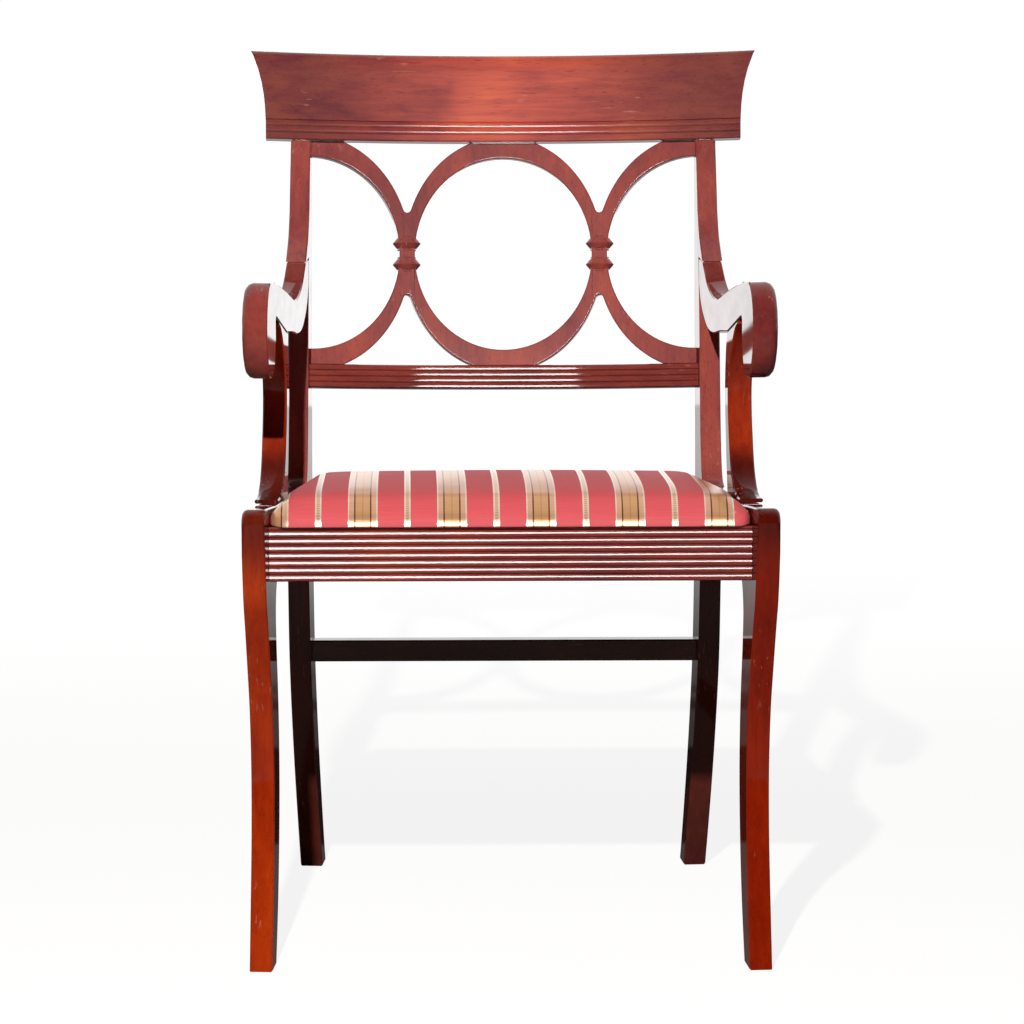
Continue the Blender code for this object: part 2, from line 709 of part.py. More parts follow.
def crest_rail():
    """Bowed crest with a reeded foot, a rounded top and flared ends."""
    face = reeds(CREST_FRONT, CREST_BAND, CREST_REEDS, CREST_REED_PITCH, CREST_REED_DEPTH)
    round_top = CREST_TOP_THICK / 2
    top_centre = (CREST_FRONT + round_top, CREST_HEIGHT - round_top)
    top = arc(top_centre, (round_top, round_top), math.pi, 0.0, 6)
    profile = [(CREST_FRONT + CREST_THICK - EASE, 0.0), (CREST_FRONT + EASE, 0.0), (CREST_FRONT, EASE)]
    profile += [(CREST_FRONT, CREST_BAND - EASE / 2)] + face
    over_reeds = (CREST_FRONT, CREST_BAND + CREST_REEDS * CREST_REED_PITCH + EASE / 2)
    back_foot = (CREST_FRONT + CREST_THICK, EASE)
    front_side = straight(over_reeds, top[0], 5)
    back_side = straight(top[-1], back_foot, 5)
    profile = tidy(profile + front_side + top[1:-1] + back_side)
    steps = 22
    rings = []
    for i in range(steps + 1):
        share = 2 * i / steps - 1
        dip = CREST_DIP * (1 - share ** 2)
        stand = 1 - dip / CREST_HEIGHT
        rings.append([bow_across(share * crest_half(v), crest_foot() + v * stand, w) for w, v in profile])
    bm = loft(rings)
    bm.verts.ensure_lookup_table()
    for first in (0, steps * len(profile)):
        for ahead, behind in zip(reversed(front_side), back_side):
            split_face(bm.verts[first + profile.index(ahead)], bm.verts[first + profile.index(behind)])
    return add_object("crest_rail", bm, BACK, MAHOGANY)


def fret_half():
    """Half the fret's width between the posts, along the bow."""
    middle = BACK_FOOT_HEIGHT + (LOWER_RAIL_HEIGHT + FRET_HEIGHT / 2) * math.cos(BACK_LEAN)
    panel = FRET_SETBACK + FRET_THICK / 2
    depth = post_front(middle) + BACK_RECESS + panel
    return BACK_RADIUS * math.asin(inner_half(depth, middle) / (BACK_RADIUS + panel))


def crotch_turn(pitch):
    """Where on the outer ellipse the crotch fillet starts, found by halving."""
    low, high = 0.0, math.pi / 2
    for _ in range(50):
        turn = (low + high) / 2
        normal = Vector((math.cos(turn) / FRET_OUTER_WIDTH, math.sin(turn) / FRET_OUTER_HEIGHT)).normalized()
        if FRET_OUTER_WIDTH * math.cos(turn) + CROTCH_RADIUS * normal.x > pitch:
            low = turn
        else:
            high = turn
    return turn, normal


def splat_outline(side):
    """Two half ovals back to back between the middle of the back and a post, as (u, v) from the fret's middle."""
    pitch = fret_half() / 2
    half = FRET_HEIGHT / 2
    inner = (pitch - FRET_NECK / 2, half - FRET_RING)
    outer = (FRET_OUTER_WIDTH, FRET_OUTER_HEIGHT)
    turn, normal = crotch_turn(pitch)
    start = math.asin(half / FRET_OUTER_HEIGHT)
    shoulder = arc((0, 0), outer, start, turn, 5)
    crotch_centre = (pitch, shoulder[-1][1] + CROTCH_RADIUS * normal.y)
    swing = math.atan2(-normal.y, -normal.x)
    fillet = arc(crotch_centre, (CROTCH_RADIUS, CROTCH_RADIUS), swing, -math.pi - swing, 4)
    far = [(2 * pitch - u, v) for u, v in reversed(shoulder)]
    over_reach = 2 * pitch + 0.004
    upper = [(GAP / 2, half)] + shoulder + fillet + far + [(over_reach, half), (over_reach, inner[1])]
    lower = [(u, -v) for u, v in reversed(upper)]
    far_oval = arc((2 * pitch, 0), inner, math.pi / 2, 1.5 * math.pi, 18)
    near_oval = arc((0, 0), inner, -math.pi / 2, math.pi / 2, 18)
    near_oval[0] = (GAP / 2, near_oval[0][1])
    near_oval[-1] = (GAP / 2, near_oval[-1][1])
    return [(side * u, v) for u, v in tidy(upper + far_oval + lower + near_oval)]


def splat(side):
    """One half of the oval fret with its double-bead collar."""
    name = SIDE_NAMES[side] + "_back_splat"
    middle = LOWER_RAIL_HEIGHT + GAP + FRET_HEIGHT / 2
    outline = splat_outline(side)
    faces = (FRET_SETBACK, FRET_SETBACK + FRET_THICK)
    bm = loft([[bow(u, middle + v, w) for u, v in outline] for w in faces])
    rim = end_cap_edges(bm, 4)
    top = FRET_HEIGHT / 2 - GAP
    held = [edge for edge in rim if all(abs(vert.co.z - middle) > top for vert in edge.verts)]
    seam = [edge for edge in rim if all(abs(vert.co.x) < GAP for vert in edge.verts)]
    soften(bm, [edge for edge in rim if edge not in held + seam])
    trim_to_posts(bm)
    piece = add_object(name, bm, BACK, MAHOGANY)
    for label, step in (("lower", -0.5), ("upper", 0.5)):
        place = bow_matrix(side * fret_half() / 2, middle + step * BEAD_SPACING, FRET_SETBACK + FRET_THICK / 2)
        boolean(piece, bead_tool(f"{name}_{label}_bead", place), "UNION")
    return piece


def bead_tool(name, place):
    """A flattened turned bead of the collar."""
    shape = [(0.62, -0.5), (0.80, -0.30), (0.97, -0.1), (0.97, 0.1), (0.80, 0.30), (0.62, 0.5)]
    bm = loft([ring(BEAD_WIDTH / 2 * share, BEAD_HEIGHT * up, 16, BEAD_DEPTH / 2 * share) for share, up in shape])
    bmesh.ops.transform(bm, matrix=place, verts=bm.verts)
    return add_object(name, bm, BACK)


def splat_tongues(piece, side, crest, lower):
    """Tongues that hold a splat in the crest and in the lower rail, near the middle and near the post."""
    into_chair = back_matrix()
    root = TONGUE_LENGTH
    size = (TONGUE_WIDTH, TONGUE_THICK, TONGUE_LENGTH + root)
    ends = {"crest": (crest, LOWER_RAIL_HEIGHT + FRET_HEIGHT + (TONGUE_LENGTH - root) / 2),
            "foot": (lower, LOWER_RAIL_HEIGHT - (TONGUE_LENGTH - root) / 2)}
    for place, u in (("middle", TONGUE_WIDTH), ("post", fret_half() - TONGUE_WIDTH)):
        for end, (socket, v) in ends.items():
            matrix = into_chair @ bow_matrix(side * u, v, FRET_SETBACK + FRET_THICK / 2)
            tenon(piece, socket, f"{piece.name}_{place}_{end}", size, matrix)


def post_tenon(post, side, crest):
    """The tenon on top of a post, in the crest's underside."""
    width, thick, length = POST_TENON
    up = back_up()
    seat = crest_seat()
    front = cut_height(seat, up)
    y = (post_front(front) + post_back(front)) / 2
    z = seat[1] - (y - seat[0]) * up[0] / up[1]
    x = side * (inner_half(y, z) + (POST_THICK + POST_FLARE * z) / 2)
    place = Matrix.Translation((x, y, z)) @ Matrix.Rotation(-BACK_LEAN, 4, "X")
    raised = place @ Matrix.Translation((0, 0, (length - TENON_ROOT) / 2))
    tenon(post, crest, SIDE_NAMES[side] + "_post_crest", (width, thick, length + TENON_ROOT), raised)


def cut_height(point, up):
    """Height at which the post's front edge meets the crest's underside."""
    curve = smooth(POST_FRONT_EDGE)
    for (y, z), (y_next, z_next) in zip(curve, curve[1:]):
        if (y_next - point[0]) * up[0] + (z_next - point[1]) * up[1] > 0:
            return z
    return curve[-1][1]


# Corner blocks under the seat

def corner_block(side, at_back):
    """A glue block in one corner of the seat rails."""
    low_z = seat_z(REAR_RAIL_FACE if at_back else FRONT_RAIL_FACE + FRONT_RAIL_THICK) - BLOCK_HEIGHT
    way = -1 if at_back else 1
    start = REAR_RAIL_FACE - GAP if at_back else FRONT_RAIL_FACE + FRONT_RAIL_THICK + GAP
    end = start + way * BLOCK_LEG
    near = inner_half(start, low_z) - GAP
    far = inner_half(end, low_z) - GAP
    plan = [(near, start), (near - BLOCK_LEG, start), (near - BLOCK_LEG, start + way * BLOCK_EDGE),
            (far - BLOCK_EDGE, end), (far, end)]
    low = [(side * x, y, low_z) for x, y in plan]
    high = [(side * x, y, seat_z(y) - BLOCK_SINK) for x, y in plan]
    name = f"{'rear' if at_back else 'front'}_{SIDE_NAMES[side]}_corner_block"
    return add_object(name, loft([low, high]), CHAIR, BEECH)


def screw(name, place, pieces):
    """A countersunk wood screw and its hole."""
    shank_end = -SCREW_LENGTH * 0.8
    solid = [(SCREW_SHANK * 0.3, -SCREW_LENGTH), (SCREW_SHANK, shank_end), (SCREW_SHANK, -SCREW_HEAD_HEIGHT),
             (SCREW_HEAD, -0.0006), (SCREW_HEAD, 0.0)]
    hole = [(SCREW_SHANK + GAP, -SCREW_LENGTH - GAP), (SCREW_SHANK + GAP, -SCREW_HEAD_HEIGHT - GAP),
            (SCREW_HEAD + GAP, -0.0006 - GAP), (SCREW_HEAD + GAP, BLOCK_LEG)]
    for label, shape, material in ((name, solid, STEEL), (name + "_hole", hole, None)):
        bm = loft([ring(radius, z, 10) for radius, z in shape])
        bmesh.ops.transform(bm, matrix=place, verts=bm.verts)
        thing = add_object(label, bm, CHAIR, material)
    for piece in pieces:
        boolean(piece, thing, "DIFFERENCE")


def block_screws(block, side, at_back, cross, side_piece):
    """Two screws through a corner block: one into the cross rail, one into the side frame."""
    way = -1 if at_back else 1
    start = REAR_RAIL_FACE if at_back else FRONT_RAIL_FACE + FRONT_RAIL_THICK
    z = seat_z(start) - BLOCK_HEIGHT / 2
    x = inner_half(start, z)
    head = Matrix.Translation((side * (x - SCREW_PLACE), start + way * SCREW_SEAT, z))
    screw(f"{block.name}_rail_screw", head @ Matrix.Rotation(-way * math.pi / 2, 4, "X"), (block, cross))
    y = start + way * SCREW_PLACE
    z += BLOCK_HEIGHT / 6
    head = Matrix.Translation((side * (inner_half(y, z) - SCREW_SEAT), y, z))
    screw(f"{block.name}_side_screw", head @ Matrix.Rotation(-side * math.pi / 2, 4, "Y"), (block, side_piece))


# Drop-in seat, in the seat plane's own space

def seat_matrix():
    """Places the drop-in seat: its front edge on the front rail, falling to the back."""
    return Matrix.Translation((0, FRONT_RAIL_FACE, SEAT_FRONT_TOP)) @ Matrix.Rotation(-SEAT_RAKE, 4, "X")


def seat_half(y):
    """Half the seat's width at a distance from its front edge."""
    place = seat_matrix() @ Vector((0, y, 0))
    return inner_half(place.y, place.z) - SEAT_CLEARANCE


def seat_ring(inset, z, front=7, flank=6, bend=4):
    """The seat's rounded outline, drawn in by an inset, as a ring of points at a height."""
    radius = max(SEAT_CORNER - inset, SEAT_CORNER / 3)
    near = inset + radius
    far = SEAT_LENGTH - inset - radius
    corners = []
    for side, y, turn in ((-1, near, math.pi), (1, near, 1.5 * math.pi), (1, far, 0.0), (-1, far, math.pi / 2)):
        centre = (side * (seat_half(y) - inset - radius), y)
        corners.append(arc(centre, (radius, radius), turn, turn + math.pi / 2, bend))
    points = []
    for i, corner in enumerate(corners):
        points += corner
        (x, y), (x_next, y_next) = corner[-1], corners[(i + 1) % 4][0]
        count = front if i % 2 == 0 else flank
        points += [(x + (x_next - x) * k / count, y + (y_next - y) * k / count) for k in range(1, count)]
    return [(x, y, z) for x, y in points]


def pad_rings(shrink, floor):
    """Rings of a crowned pad: up its sides, over the rolled edge and in towards the middle."""
    rise = PAD_RISE - shrink
    rings = []
    start = 0.0
    if floor < PAD_SIDE:
        rings.append(seat_ring(shrink, floor))
    else:
        start = math.asin((floor - PAD_SIDE) / rise)
    for k in range(4):
        turn = start + (math.pi / 2 - start) * k / 4
        rings.append(seat_ring(shrink + PAD_ROLL * (1 - math.cos(turn)), PAD_SIDE + rise * math.sin(turn)))
    rim = seat_ring(shrink + PAD_ROLL, 0.0)
    middle = Vector((0, SEAT_LENGTH / 2, 0))
    for share in (1.0, 0.88, 0.7, 0.5, 0.28, 0.1):
        inward = [middle + (Vector(point) - middle) * share for point in rim]
        rings.append([(x, y, PAD_SIDE + rise + pad_crown(x, y)) for x, y, z in inward])
    return rings


def pad_crown(x, y):
    """Rise of the pad over its rolled edge at a place in plan."""
    across = abs(x) / (seat_half(y) - PAD_ROLL)
    along = abs(2 * y / SEAT_LENGTH - 1) * SEAT_LENGTH / (SEAT_LENGTH - 2 * PAD_ROLL)
    return PAD_CROWN * max(1 - across ** 3, 0.0) * max(1 - along ** 2.5, 0.0)


def frame_floor():
    """Height of the seat frame's underside."""
    return GAP + DUST_COVER + GAP


def frame_top():
    """Height of the seat frame's top."""
    return frame_floor() + SEAT_FRAME_THICK


def seat_cover():
    """Cover pulled over the pad and the sides of the frame: an open-bottomed shell."""
    outer = pad_rings(0.0, frame_floor())
    inner = pad_rings(COVER_THICK, frame_floor())
    return add_object("seat_cover", loft(list(reversed(inner)) + outer), SEAT, STRIPED)


def seat_foam():
    """Crowned pad on the webbing."""
    rings = pad_rings(COVER_THICK + FOAM_GAP, web_level(1) + WEB_THICK + GAP)
    return add_object("seat_foam", loft(rings), SEAT, FOAM)


def dust_cover():
    """Black cloth under the seat frame."""
    rings = [seat_ring(DUST_MARGIN, z) for z in (GAP, GAP + DUST_COVER)]
    return add_object("seat_dust_cover", loft(rings), SEAT, CAMBRIC)


def slab(plan, low, high):
    """A flat piece with an outline in plan."""
    return loft([[(x, y, z) for x, y in plan] for z in (low, high)])


def seat_frame():
    """Two side members and two cross members, tenoned together."""
    inset = COVER_THICK + GAP
    low, high = frame_floor(), frame_top()
    near, far = inset, SEAT_LENGTH - inset
    cut = SEAT_CORNER
    flanks = {}
    for side in (-1, 1):
        def out(y):
            return side * (seat_half(y) - inset)

        plan = [(out(near) - side * SEAT_FRAME_WIDTH, near), (out(near) - side * cut, near),
                (out(near + cut), near + cut), (out(far - cut), far - cut), (out(far) - side * cut, far),
                (out(far) - side * SEAT_FRAME_WIDTH, far)]
        name = f"seat_frame_{SIDE_NAMES[side]}_member"
        flanks[side] = add_object(name, slab(plan, low, high), SEAT, BEECH)
    for label, start in (("front", near), ("rear", far - SEAT_FRAME_WIDTH)):
        end = start + SEAT_FRAME_WIDTH
        halves = [(seat_half(y) - inset - SEAT_FRAME_WIDTH - GAP, y) for y in (start, end)]
        plan = halves + [(-x, y) for x, y in reversed(halves)]
        piece = add_object(f"seat_frame_{label}_member", slab(plan, low, high), SEAT, BEECH)
        for side in (-1, 1):
            length = TENON_LENGTH + TENON_ROOT
            y = (start + end) / 2
            x = side * (seat_half(y) - inset - SEAT_FRAME_WIDTH + (TENON_LENGTH - TENON_ROOT) / 2)
            size = (length, SEAT_FRAME_WIDTH - 2 * TENON_SHOULDER, SEAT_FRAME_THICK / 2)
            place = seat_matrix() @ Matrix.Translation((x, y, (low + high) / 2))
            tenon(piece, flanks[side], f"{piece.name}_{SIDE_NAMES[side]}", size, place)


def web_level(up):
    """Underside of a webbing strip where it runs below (0) or above (1) another."""
    return frame_top() + GAP + up * (WEB_THICK + GAP)


def web_strip(name, start, end, crossings, across, lie):
    """A woven strip: its run, the places it crosses others at and whether it lies over them."""
    path = [(start, 0.0)]
    for place, over in crossings:
        half = WEB_WIDTH / 2 + GAP
        path += [(place - half - WEB_RAMP, 0.0), (place - half, over), (place + half, over),
                 (place + half + WEB_RAMP, 0.0)]
    path.append((end, 0.0))
    rings = []
    for along, over in path:
        low = web_level(over)
        section = [(-0.5, low), (0.5, low), (0.5, low + WEB_THICK), (-0.5, low + WEB_THICK)]
        rings.append([lie(along, across + WEB_WIDTH * shift, z) for shift, z in section])
    return add_object(name, loft(rings), SEAT, JUTE)


def webbing():
    """Strips woven over and under each other across the seat frame."""
    clear = SEAT_FRAME_WIDTH + COVER_THICK
    span = SEAT_LENGTH - 2 * clear
    rows = [clear + span * (i + 0.5) / WEB_COUNT for i in range(WEB_COUNT)]
    width = 2 * (seat_half(SEAT_LENGTH / 2) - clear)
    columns = [width * ((i + 0.5) / WEB_COUNT - 0.5) for i in range(WEB_COUNT)]
    for i, x in enumerate(columns):
        crossings = [(y, (i + j) % 2) for j, y in enumerate(rows)]
        web_strip(f"seat_webbing_long_{i + 1}", WEB_MARGIN, SEAT_LENGTH - WEB_MARGIN, crossings, x,
                  lambda along, across, z: (across, along, z))
    for j, y in enumerate(rows):
        crossings = [(x, (i + j + 1) % 2) for i, x in enumerate(columns)]
        reach = seat_half(y + WEB_WIDTH / 2) - WEB_MARGIN
        web_strip(f"seat_webbing_cross_{j + 1}", -reach, reach, crossings, y,
                  lambda along, across, z: (along, across, z))


def centre_in_depth():
    """Moves the chair so that its origin lies midway between its front and its back."""
    bpy.context.view_layer.update()
    graph = bpy.context.evaluated_depsgraph_get()
    depths = []
    for piece in PIECES:
        shown = piece.evaluated_get(graph)
        depths += [(shown.matrix_world @ vert.co).y for vert in shown.data.vertices]
    CHAIR.location.y -= (min(depths) + max(depths)) / 2


def side_frame(side):
    """Leg, side rail, post, arm and support of one side, with the dowels between them."""
    name = SIDE_NAMES[side]
    leg = board(name + "_front_leg", front_leg_outline(), side, LEG_THICK, LEG_FLARE, 0.0, knee_rounding, 3)
    rail = board(name + "_side_rail", side_rail_outline(), side, SIDE_RAIL_THICK)
    post = board(name + "_back_post", post_outline(), side, POST_THICK, POST_FLARE)
    arm = board(name + "_arm", arm_outline(), side, ARM_THICK, 0.0, ARM_TAPER, arm_rounding, 3)
    support = board(name + "_arm_support", support_outline(), side, SUPPORT_THICK)
    into_chair = side_matrix(side)
    length = TENON_LENGTH + TENON_ROOT
    for socket, y, way in ((leg, SIDE_RAIL_FRONT, -1), (post, SIDE_RAIL_BACK, 1)):
        shift = way * (TENON_LENGTH - TENON_ROOT) / 2
        z = (rail_top(y) + rail_foot(y)) / 2
        tall = RAIL_HEIGHT + RAIL_LIP - 2 * TENON_SHOULDER
        place = into_chair @ Matrix.Translation(mid_board(side, y + shift, z))
        tenon(rail, socket, f"{name}_rail_{socket.name}", (TENON_THICK, length, tall), place)
    run = (ARM_JOINT_BACK[0] - ARM_JOINT_FRONT[0], ARM_JOINT_BACK[1] - ARM_JOINT_FRONT[1])
    joint = [a + SUPPORT_DOWEL_SHARE * b for a, b in zip(arm_point(ARM_JOINT_FRONT), run)]
    dowel(name + "_support_top_dowel", side, joint, (-run[1], run[0]), (arm, support))
    foot = (SUPPORT_BACK_EDGE[0][0] + SUPPORT_FRONT_EDGE[-3][0]) / 2
    dowel(name + "_support_foot_dowel", side, (foot, rail_top(foot)), (0.0, 1.0), (support, rail))
    height = ARM_HEIGHT + (ARM_END_TOP + ARM_END_FOOT) / 4
    dowel(name + "_arm_end_dowel", side, (post_front(height), height), (1.0, 0.0), (arm, post))
    return {"leg": leg, "rail": rail, "post": post, "arm": arm, "support": support}


remove_everything()
PIECES = []
SIDE_NAMES = {-1: "left", 1: "right"}
MAHOGANY = finish_material("mahogany", (0.20, 0.035, 0.018), 0.22)
BEECH = finish_material("beech", (0.55, 0.36, 0.20), 0.60)
STEEL = finish_material("screw_steel", (0.50, 0.49, 0.47), 0.35, 1.0)
STRIPED = finish_material("striped_cover", (0.36, 0.03, 0.035), 0.55)
FOAM = finish_material("foam", (0.85, 0.78, 0.58), 0.90)
JUTE = finish_material("jute_webbing", (0.45, 0.32, 0.18), 0.90)
CAMBRIC = finish_material("black_cambric", (0.02, 0.02, 0.02), 0.90)

CHAIR = empty("klismos_chair")
SIDES = {side: empty(SIDE_NAMES[side] + "_side", CHAIR, side_matrix(side)) for side in (-1, 1)}
BACK = empty("bowed_back", CHAIR, back_matrix())
SEAT = empty("drop_in_seat", CHAIR, seat_matrix())

frames = {side: side_frame(side) for side in (-1, 1)}
legs = {side: frames[side]["leg"] for side in frames}
posts = {side: frames[side]["post"] for side in frames}

front = front_rail()
rear = rear_rail()
tenon_tall = RAIL_HEIGHT - 2 * TENON_SHOULDER
front_middle = FRONT_RAIL_FACE + FRONT_RAIL_THICK / 2
rear_middle = REAR_RAIL_FACE + REAR_RAIL_THICK / 2
front_level = seat_z(front_middle) - RAIL_HEIGHT / 2
rear_level = seat_z(rear_middle) - RAIL_HEIGHT / 2
cross_tenons(front, legs, "front_rail", front_middle, front_level, TENON_THICK, tenon_tall)
cross_tenons(rear, posts, "rear_rail", rear_middle, rear_level, TENON_THICK, tenon_tall)
brace = stretcher()
brace_middle = (post_front(STRETCHER_CENTRE) + post_back(STRETCHER_CENTRE)) / 2
cross_tenons(brace, posts, "stretcher", brace_middle, STRETCHER_CENTRE, TENON_THICK,
             STRETCHER_HEIGHT - TENON_SHOULDER)

lower = lower_back_rail()
crest = crest_rail()
lower_ends = back_matrix() @ Vector(bow(fret_half(), LOWER_RAIL_HEIGHT / 2, LOWER_RAIL_THICK / 2))
cross_tenons(lower, posts, "lower_rail", lower_ends.y, lower_ends.z, TENON_THICK * 0.8,
             LOWER_RAIL_HEIGHT - TENON_SHOULDER)
for side in (-1, 1):
    splat_tongues(splat(side), side, crest, lower)
    post_tenon(posts[side], side, crest)
    for at_back, cross in ((False, front), (True, rear)):
        block = corner_block(side, at_back)
        block_screws(block, side, at_back, cross, legs[side] if not at_back else frames[side]["rail"])

dust_cover()
seat_frame()
webbing()
seat_foam()
seat_cover()
centre_in_depth()
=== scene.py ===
"""Klismos armchair in glossy mahogany with a striped drop-in seat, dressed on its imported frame."""
import math

import bmesh
import bpy
from mathutils import Matrix, Vector
from mathutils.bvhtree import BVHTree


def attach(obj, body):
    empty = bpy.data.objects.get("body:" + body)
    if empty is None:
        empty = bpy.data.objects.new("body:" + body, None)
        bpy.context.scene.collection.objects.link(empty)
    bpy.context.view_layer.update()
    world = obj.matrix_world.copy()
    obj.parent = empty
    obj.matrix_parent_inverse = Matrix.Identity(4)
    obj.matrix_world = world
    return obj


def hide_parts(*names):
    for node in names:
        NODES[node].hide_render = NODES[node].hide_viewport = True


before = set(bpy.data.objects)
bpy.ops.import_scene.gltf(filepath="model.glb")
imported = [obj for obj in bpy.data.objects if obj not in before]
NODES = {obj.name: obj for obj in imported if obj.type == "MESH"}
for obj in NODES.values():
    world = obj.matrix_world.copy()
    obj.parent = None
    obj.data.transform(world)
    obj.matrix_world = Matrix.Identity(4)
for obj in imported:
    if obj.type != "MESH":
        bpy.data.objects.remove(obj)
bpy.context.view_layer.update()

# Camera that took the picture: a long lens, a little above the crest
CAMERA_PLACE = (-0.103, -6.15244, 1.400)
CAMERA_TURN = (math.radians(81.0), 0.0, math.radians(-1.01))
CAMERA_FOCAL = 210.94
CAMERA_SENSOR = 36.0
CAMERA_REACH = 200.0

# Points closer than this are one point, and a cut this close to a point goes through it
WELD = 0.00002
SNAP = 0.0001

# Edges sharper than these stay crisp
CRISP_ANGLE = math.radians(40.0)
FRET_CRISP_ANGLE = math.radians(35.0)

# Seat: its rake, the stripe repeat across it, and the slope from which stripes follow the cloth down a side
SEAT_RAKE = math.radians(5.0)
STRIPE_REPEAT = 0.0891
STRIPE_START = -0.1624
SIDE_SLOPE = 0.82
SIDE_SPAN = 0.16
PAD_TOP = 0.031

# Cushion: its mesh, and the cloth that swells over the pad
VOXEL = 0.0048
SLACK = 0.06
FOOT_DEPTH = 0.014
HOLD_START = 1.4
HOLD_HEIGHT = 0.010
SWELL_FRAMES = 20
SWELL_LIMIT = 0.008
PROUD = 0.0022
PROUD_TOP = 0.0004
COVER_THICK = 0.001

# Cushion: rounds of smoothing, in their order
RELAX_FIRST = 4
RELAX_FITTED = 2
EVEN_FITTED = 14
RELAX_SHOULDER = 90
EVEN_LAST = 6
EVEN_STEPS = (0.5, -0.52)

# Cushion: the shoulder that is smoothed, and the roll of the front and its corners
SHOULDER_LOW = 0.010
SHOULDER_HIGH = 0.020
SHOULDER_FRONT = -0.190
SHOULDER_BACK = -0.120
BULGE = 0.0042
BULGE_HEIGHT = 0.015
BULGE_FADE = 0.010
CORNER_BULGE = 0.0011
CORNER_HEIGHT = 0.022

# Cushion: its hem, which drops a little before the front rail
HEM_LINE = 0.0006
HEM_DROP = 0.0014
HEM_TUCK = 0.0004
HEM_WIDTH = 0.0052
FRONT_DROP = 0.0014
DROP_RUN = 0.004
DROP_HEIGHT = 0.012
RAIL_FACE = -0.2384

# Webbing and dust cover
DUST_SAG = 0.0024
DUST_THICK = 0.0006
DUST_CELL = 0.020
MEMBER_WIDTH = 0.048
FLAT_ANGLE = 0.01
BEND_ANGLE = 1.0

# Oval fret
BACK_PLACE = Matrix.Translation((0.0, 0.18715, 0.52940)) @ Matrix.Rotation(math.radians(-12.8), 4, "X")
BACK_RADIUS = 1.05
FRET_HALF = 0.20477
FRET_HEIGHT = 0.238
FRET_MIDDLE = 0.1443
FRET_RING = 0.0163
FRET_NECK = 0.0165
FRET_SETBACK = 0.002
FRET_THICK = 0.015
FRET_OUTER = (0.1062, 0.126)
FRET_EASE = 0.0016
FRET_CELL = 0.008
FRET_TUCK = 0.001
RIM_NEAR = 0.00005
CROTCH_RADIUS = 0.004
BEAD_RADIUS = 0.0151
BEAD_HEIGHT = 0.0126
BEAD_SPACING = 0.0226
BEAD_FLATNESS = 0.85
BEAD_PROFILE = [(0.50, -0.62), (0.65, -0.62), (0.67, -0.60), (0.67, -0.54), (0.58, -0.53), (0.58, -0.46),
                (0.70, -0.45), (0.96, -0.09), (1.00, 0.0), (0.96, 0.09), (0.70, 0.45), (0.58, 0.46),
                (0.58, 0.53), (0.67, 0.54), (0.67, 0.60), (0.65, 0.62), (0.50, 0.62)]
BEAD_STEPS = 40

# Floor and room: where a brightness starts and ends its rise along an axis, and what it rises from and to
FLOOR_DROP = -0.0005
FLOOR_SIZE = 40.0
FLOOR_COLOUR = (0.20, 0.19, 0.18, 1.0)
FLOOR_SHOWN = (0.4, 2.6, 0.88, 1.0)
FLOOR_MIRRORED = (0.9, 3.6, 0.0, 1.0)
ROOM_FILL = (-0.7, 0.5, 0.03, 0.24)
ROOM_FILL_HEIGHT = (0.1, 0.8, 1.0, 0.15)
ROOM_GLEAM = (-0.5, 0.6, 0.0, 0.95)
WHITE = (1.0, 1.0, 1.0, 1.0)

# Soft lights: place, the point each one faces, size and power
HIGH_BOX = ((-0.49, -3.566, 2.66), (0.0, 0.0, 0.50), (0.07, 0.07), 172.0)
GLEAM_BOX = ((0.08, -3.55, 0.95), (0.0, 0.0, 0.95), (0.95, 1.4), 130.0)
BACK_BOX = ((0.0, 3.6, 0.98), (0.0, 0.0, 0.98), (3.2, 1.9), 16.0)


def link(tree, start, end):
    """Joins an output to an input."""
    tree.links.new(start, end)


def new_node(tree, kind, **settings):
    """A node with its settings."""
    node = tree.nodes.new(kind)
    for key, value in settings.items():
        setattr(node, key, value)
    return node


def math_node(tree, operation, first, second=None):
    """An operation on one or two values, each a number or an output."""
    node = new_node(tree, "ShaderNodeMath", operation=operation)
    for socket, value in zip(node.inputs, (first, second)):
        if value is None:
            continue
        if isinstance(value, (int, float)):
            socket.default_value = value
        else:
            link(tree, value, socket)
    return node.outputs[0]


def ramp_node(tree, value, stops, interpolation="LINEAR"):
    """A colour ramp with (position, colour) stops."""
    node = new_node(tree, "ShaderNodeValToRGB")
    ramp = node.color_ramp
    ramp.interpolation = interpolation
    while len(ramp.elements) < len(stops):
        ramp.elements.new(1.0)
    for element, (position, colour) in zip(ramp.elements, stops):
        element.position = position
        element.color = (*colour, 1.0)
    link(tree, value, node.inputs["Fac"])
    return node.outputs["Color"]


def mix_colour(tree, factor, first, second, blend="MIX"):
    """Mixes two colours; each may be a colour or an output."""
    node = new_node(tree, "ShaderNodeMix", data_type="RGBA", blend_type=blend)
    if isinstance(factor, (int, float)):
        node.inputs[0].default_value = factor
    else:
        link(tree, factor, node.inputs[0])
    for socket, value in ((node.inputs[6], first), (node.inputs[7], second)):
        if isinstance(value, tuple):
            socket.default_value = (*value, 1.0)
        else:
            link(tree, value, socket)
    return node.outputs[2]


def spread(tree, value, low, high):
    """Stretches a 0 to 1 value to a range."""
    node = new_node(tree, "ShaderNodeMapRange")
    link(tree, value, node.inputs["Value"])
    node.inputs["To Min"].default_value = low
    node.inputs["To Max"].default_value = high
    return node.outputs["Result"]


def rising(tree, value, start, end, low, high):
    """A value that goes smoothly from low to high between two places."""
    node = new_node(tree, "ShaderNodeMapRange", interpolation_type="SMOOTHSTEP")
    for label, number in (("From Min", start), ("From Max", end), ("To Min", low), ("To Max", high)):
        node.inputs[label].default_value = number
    link(tree, value, node.inputs["Value"])
    return node.outputs["Result"]


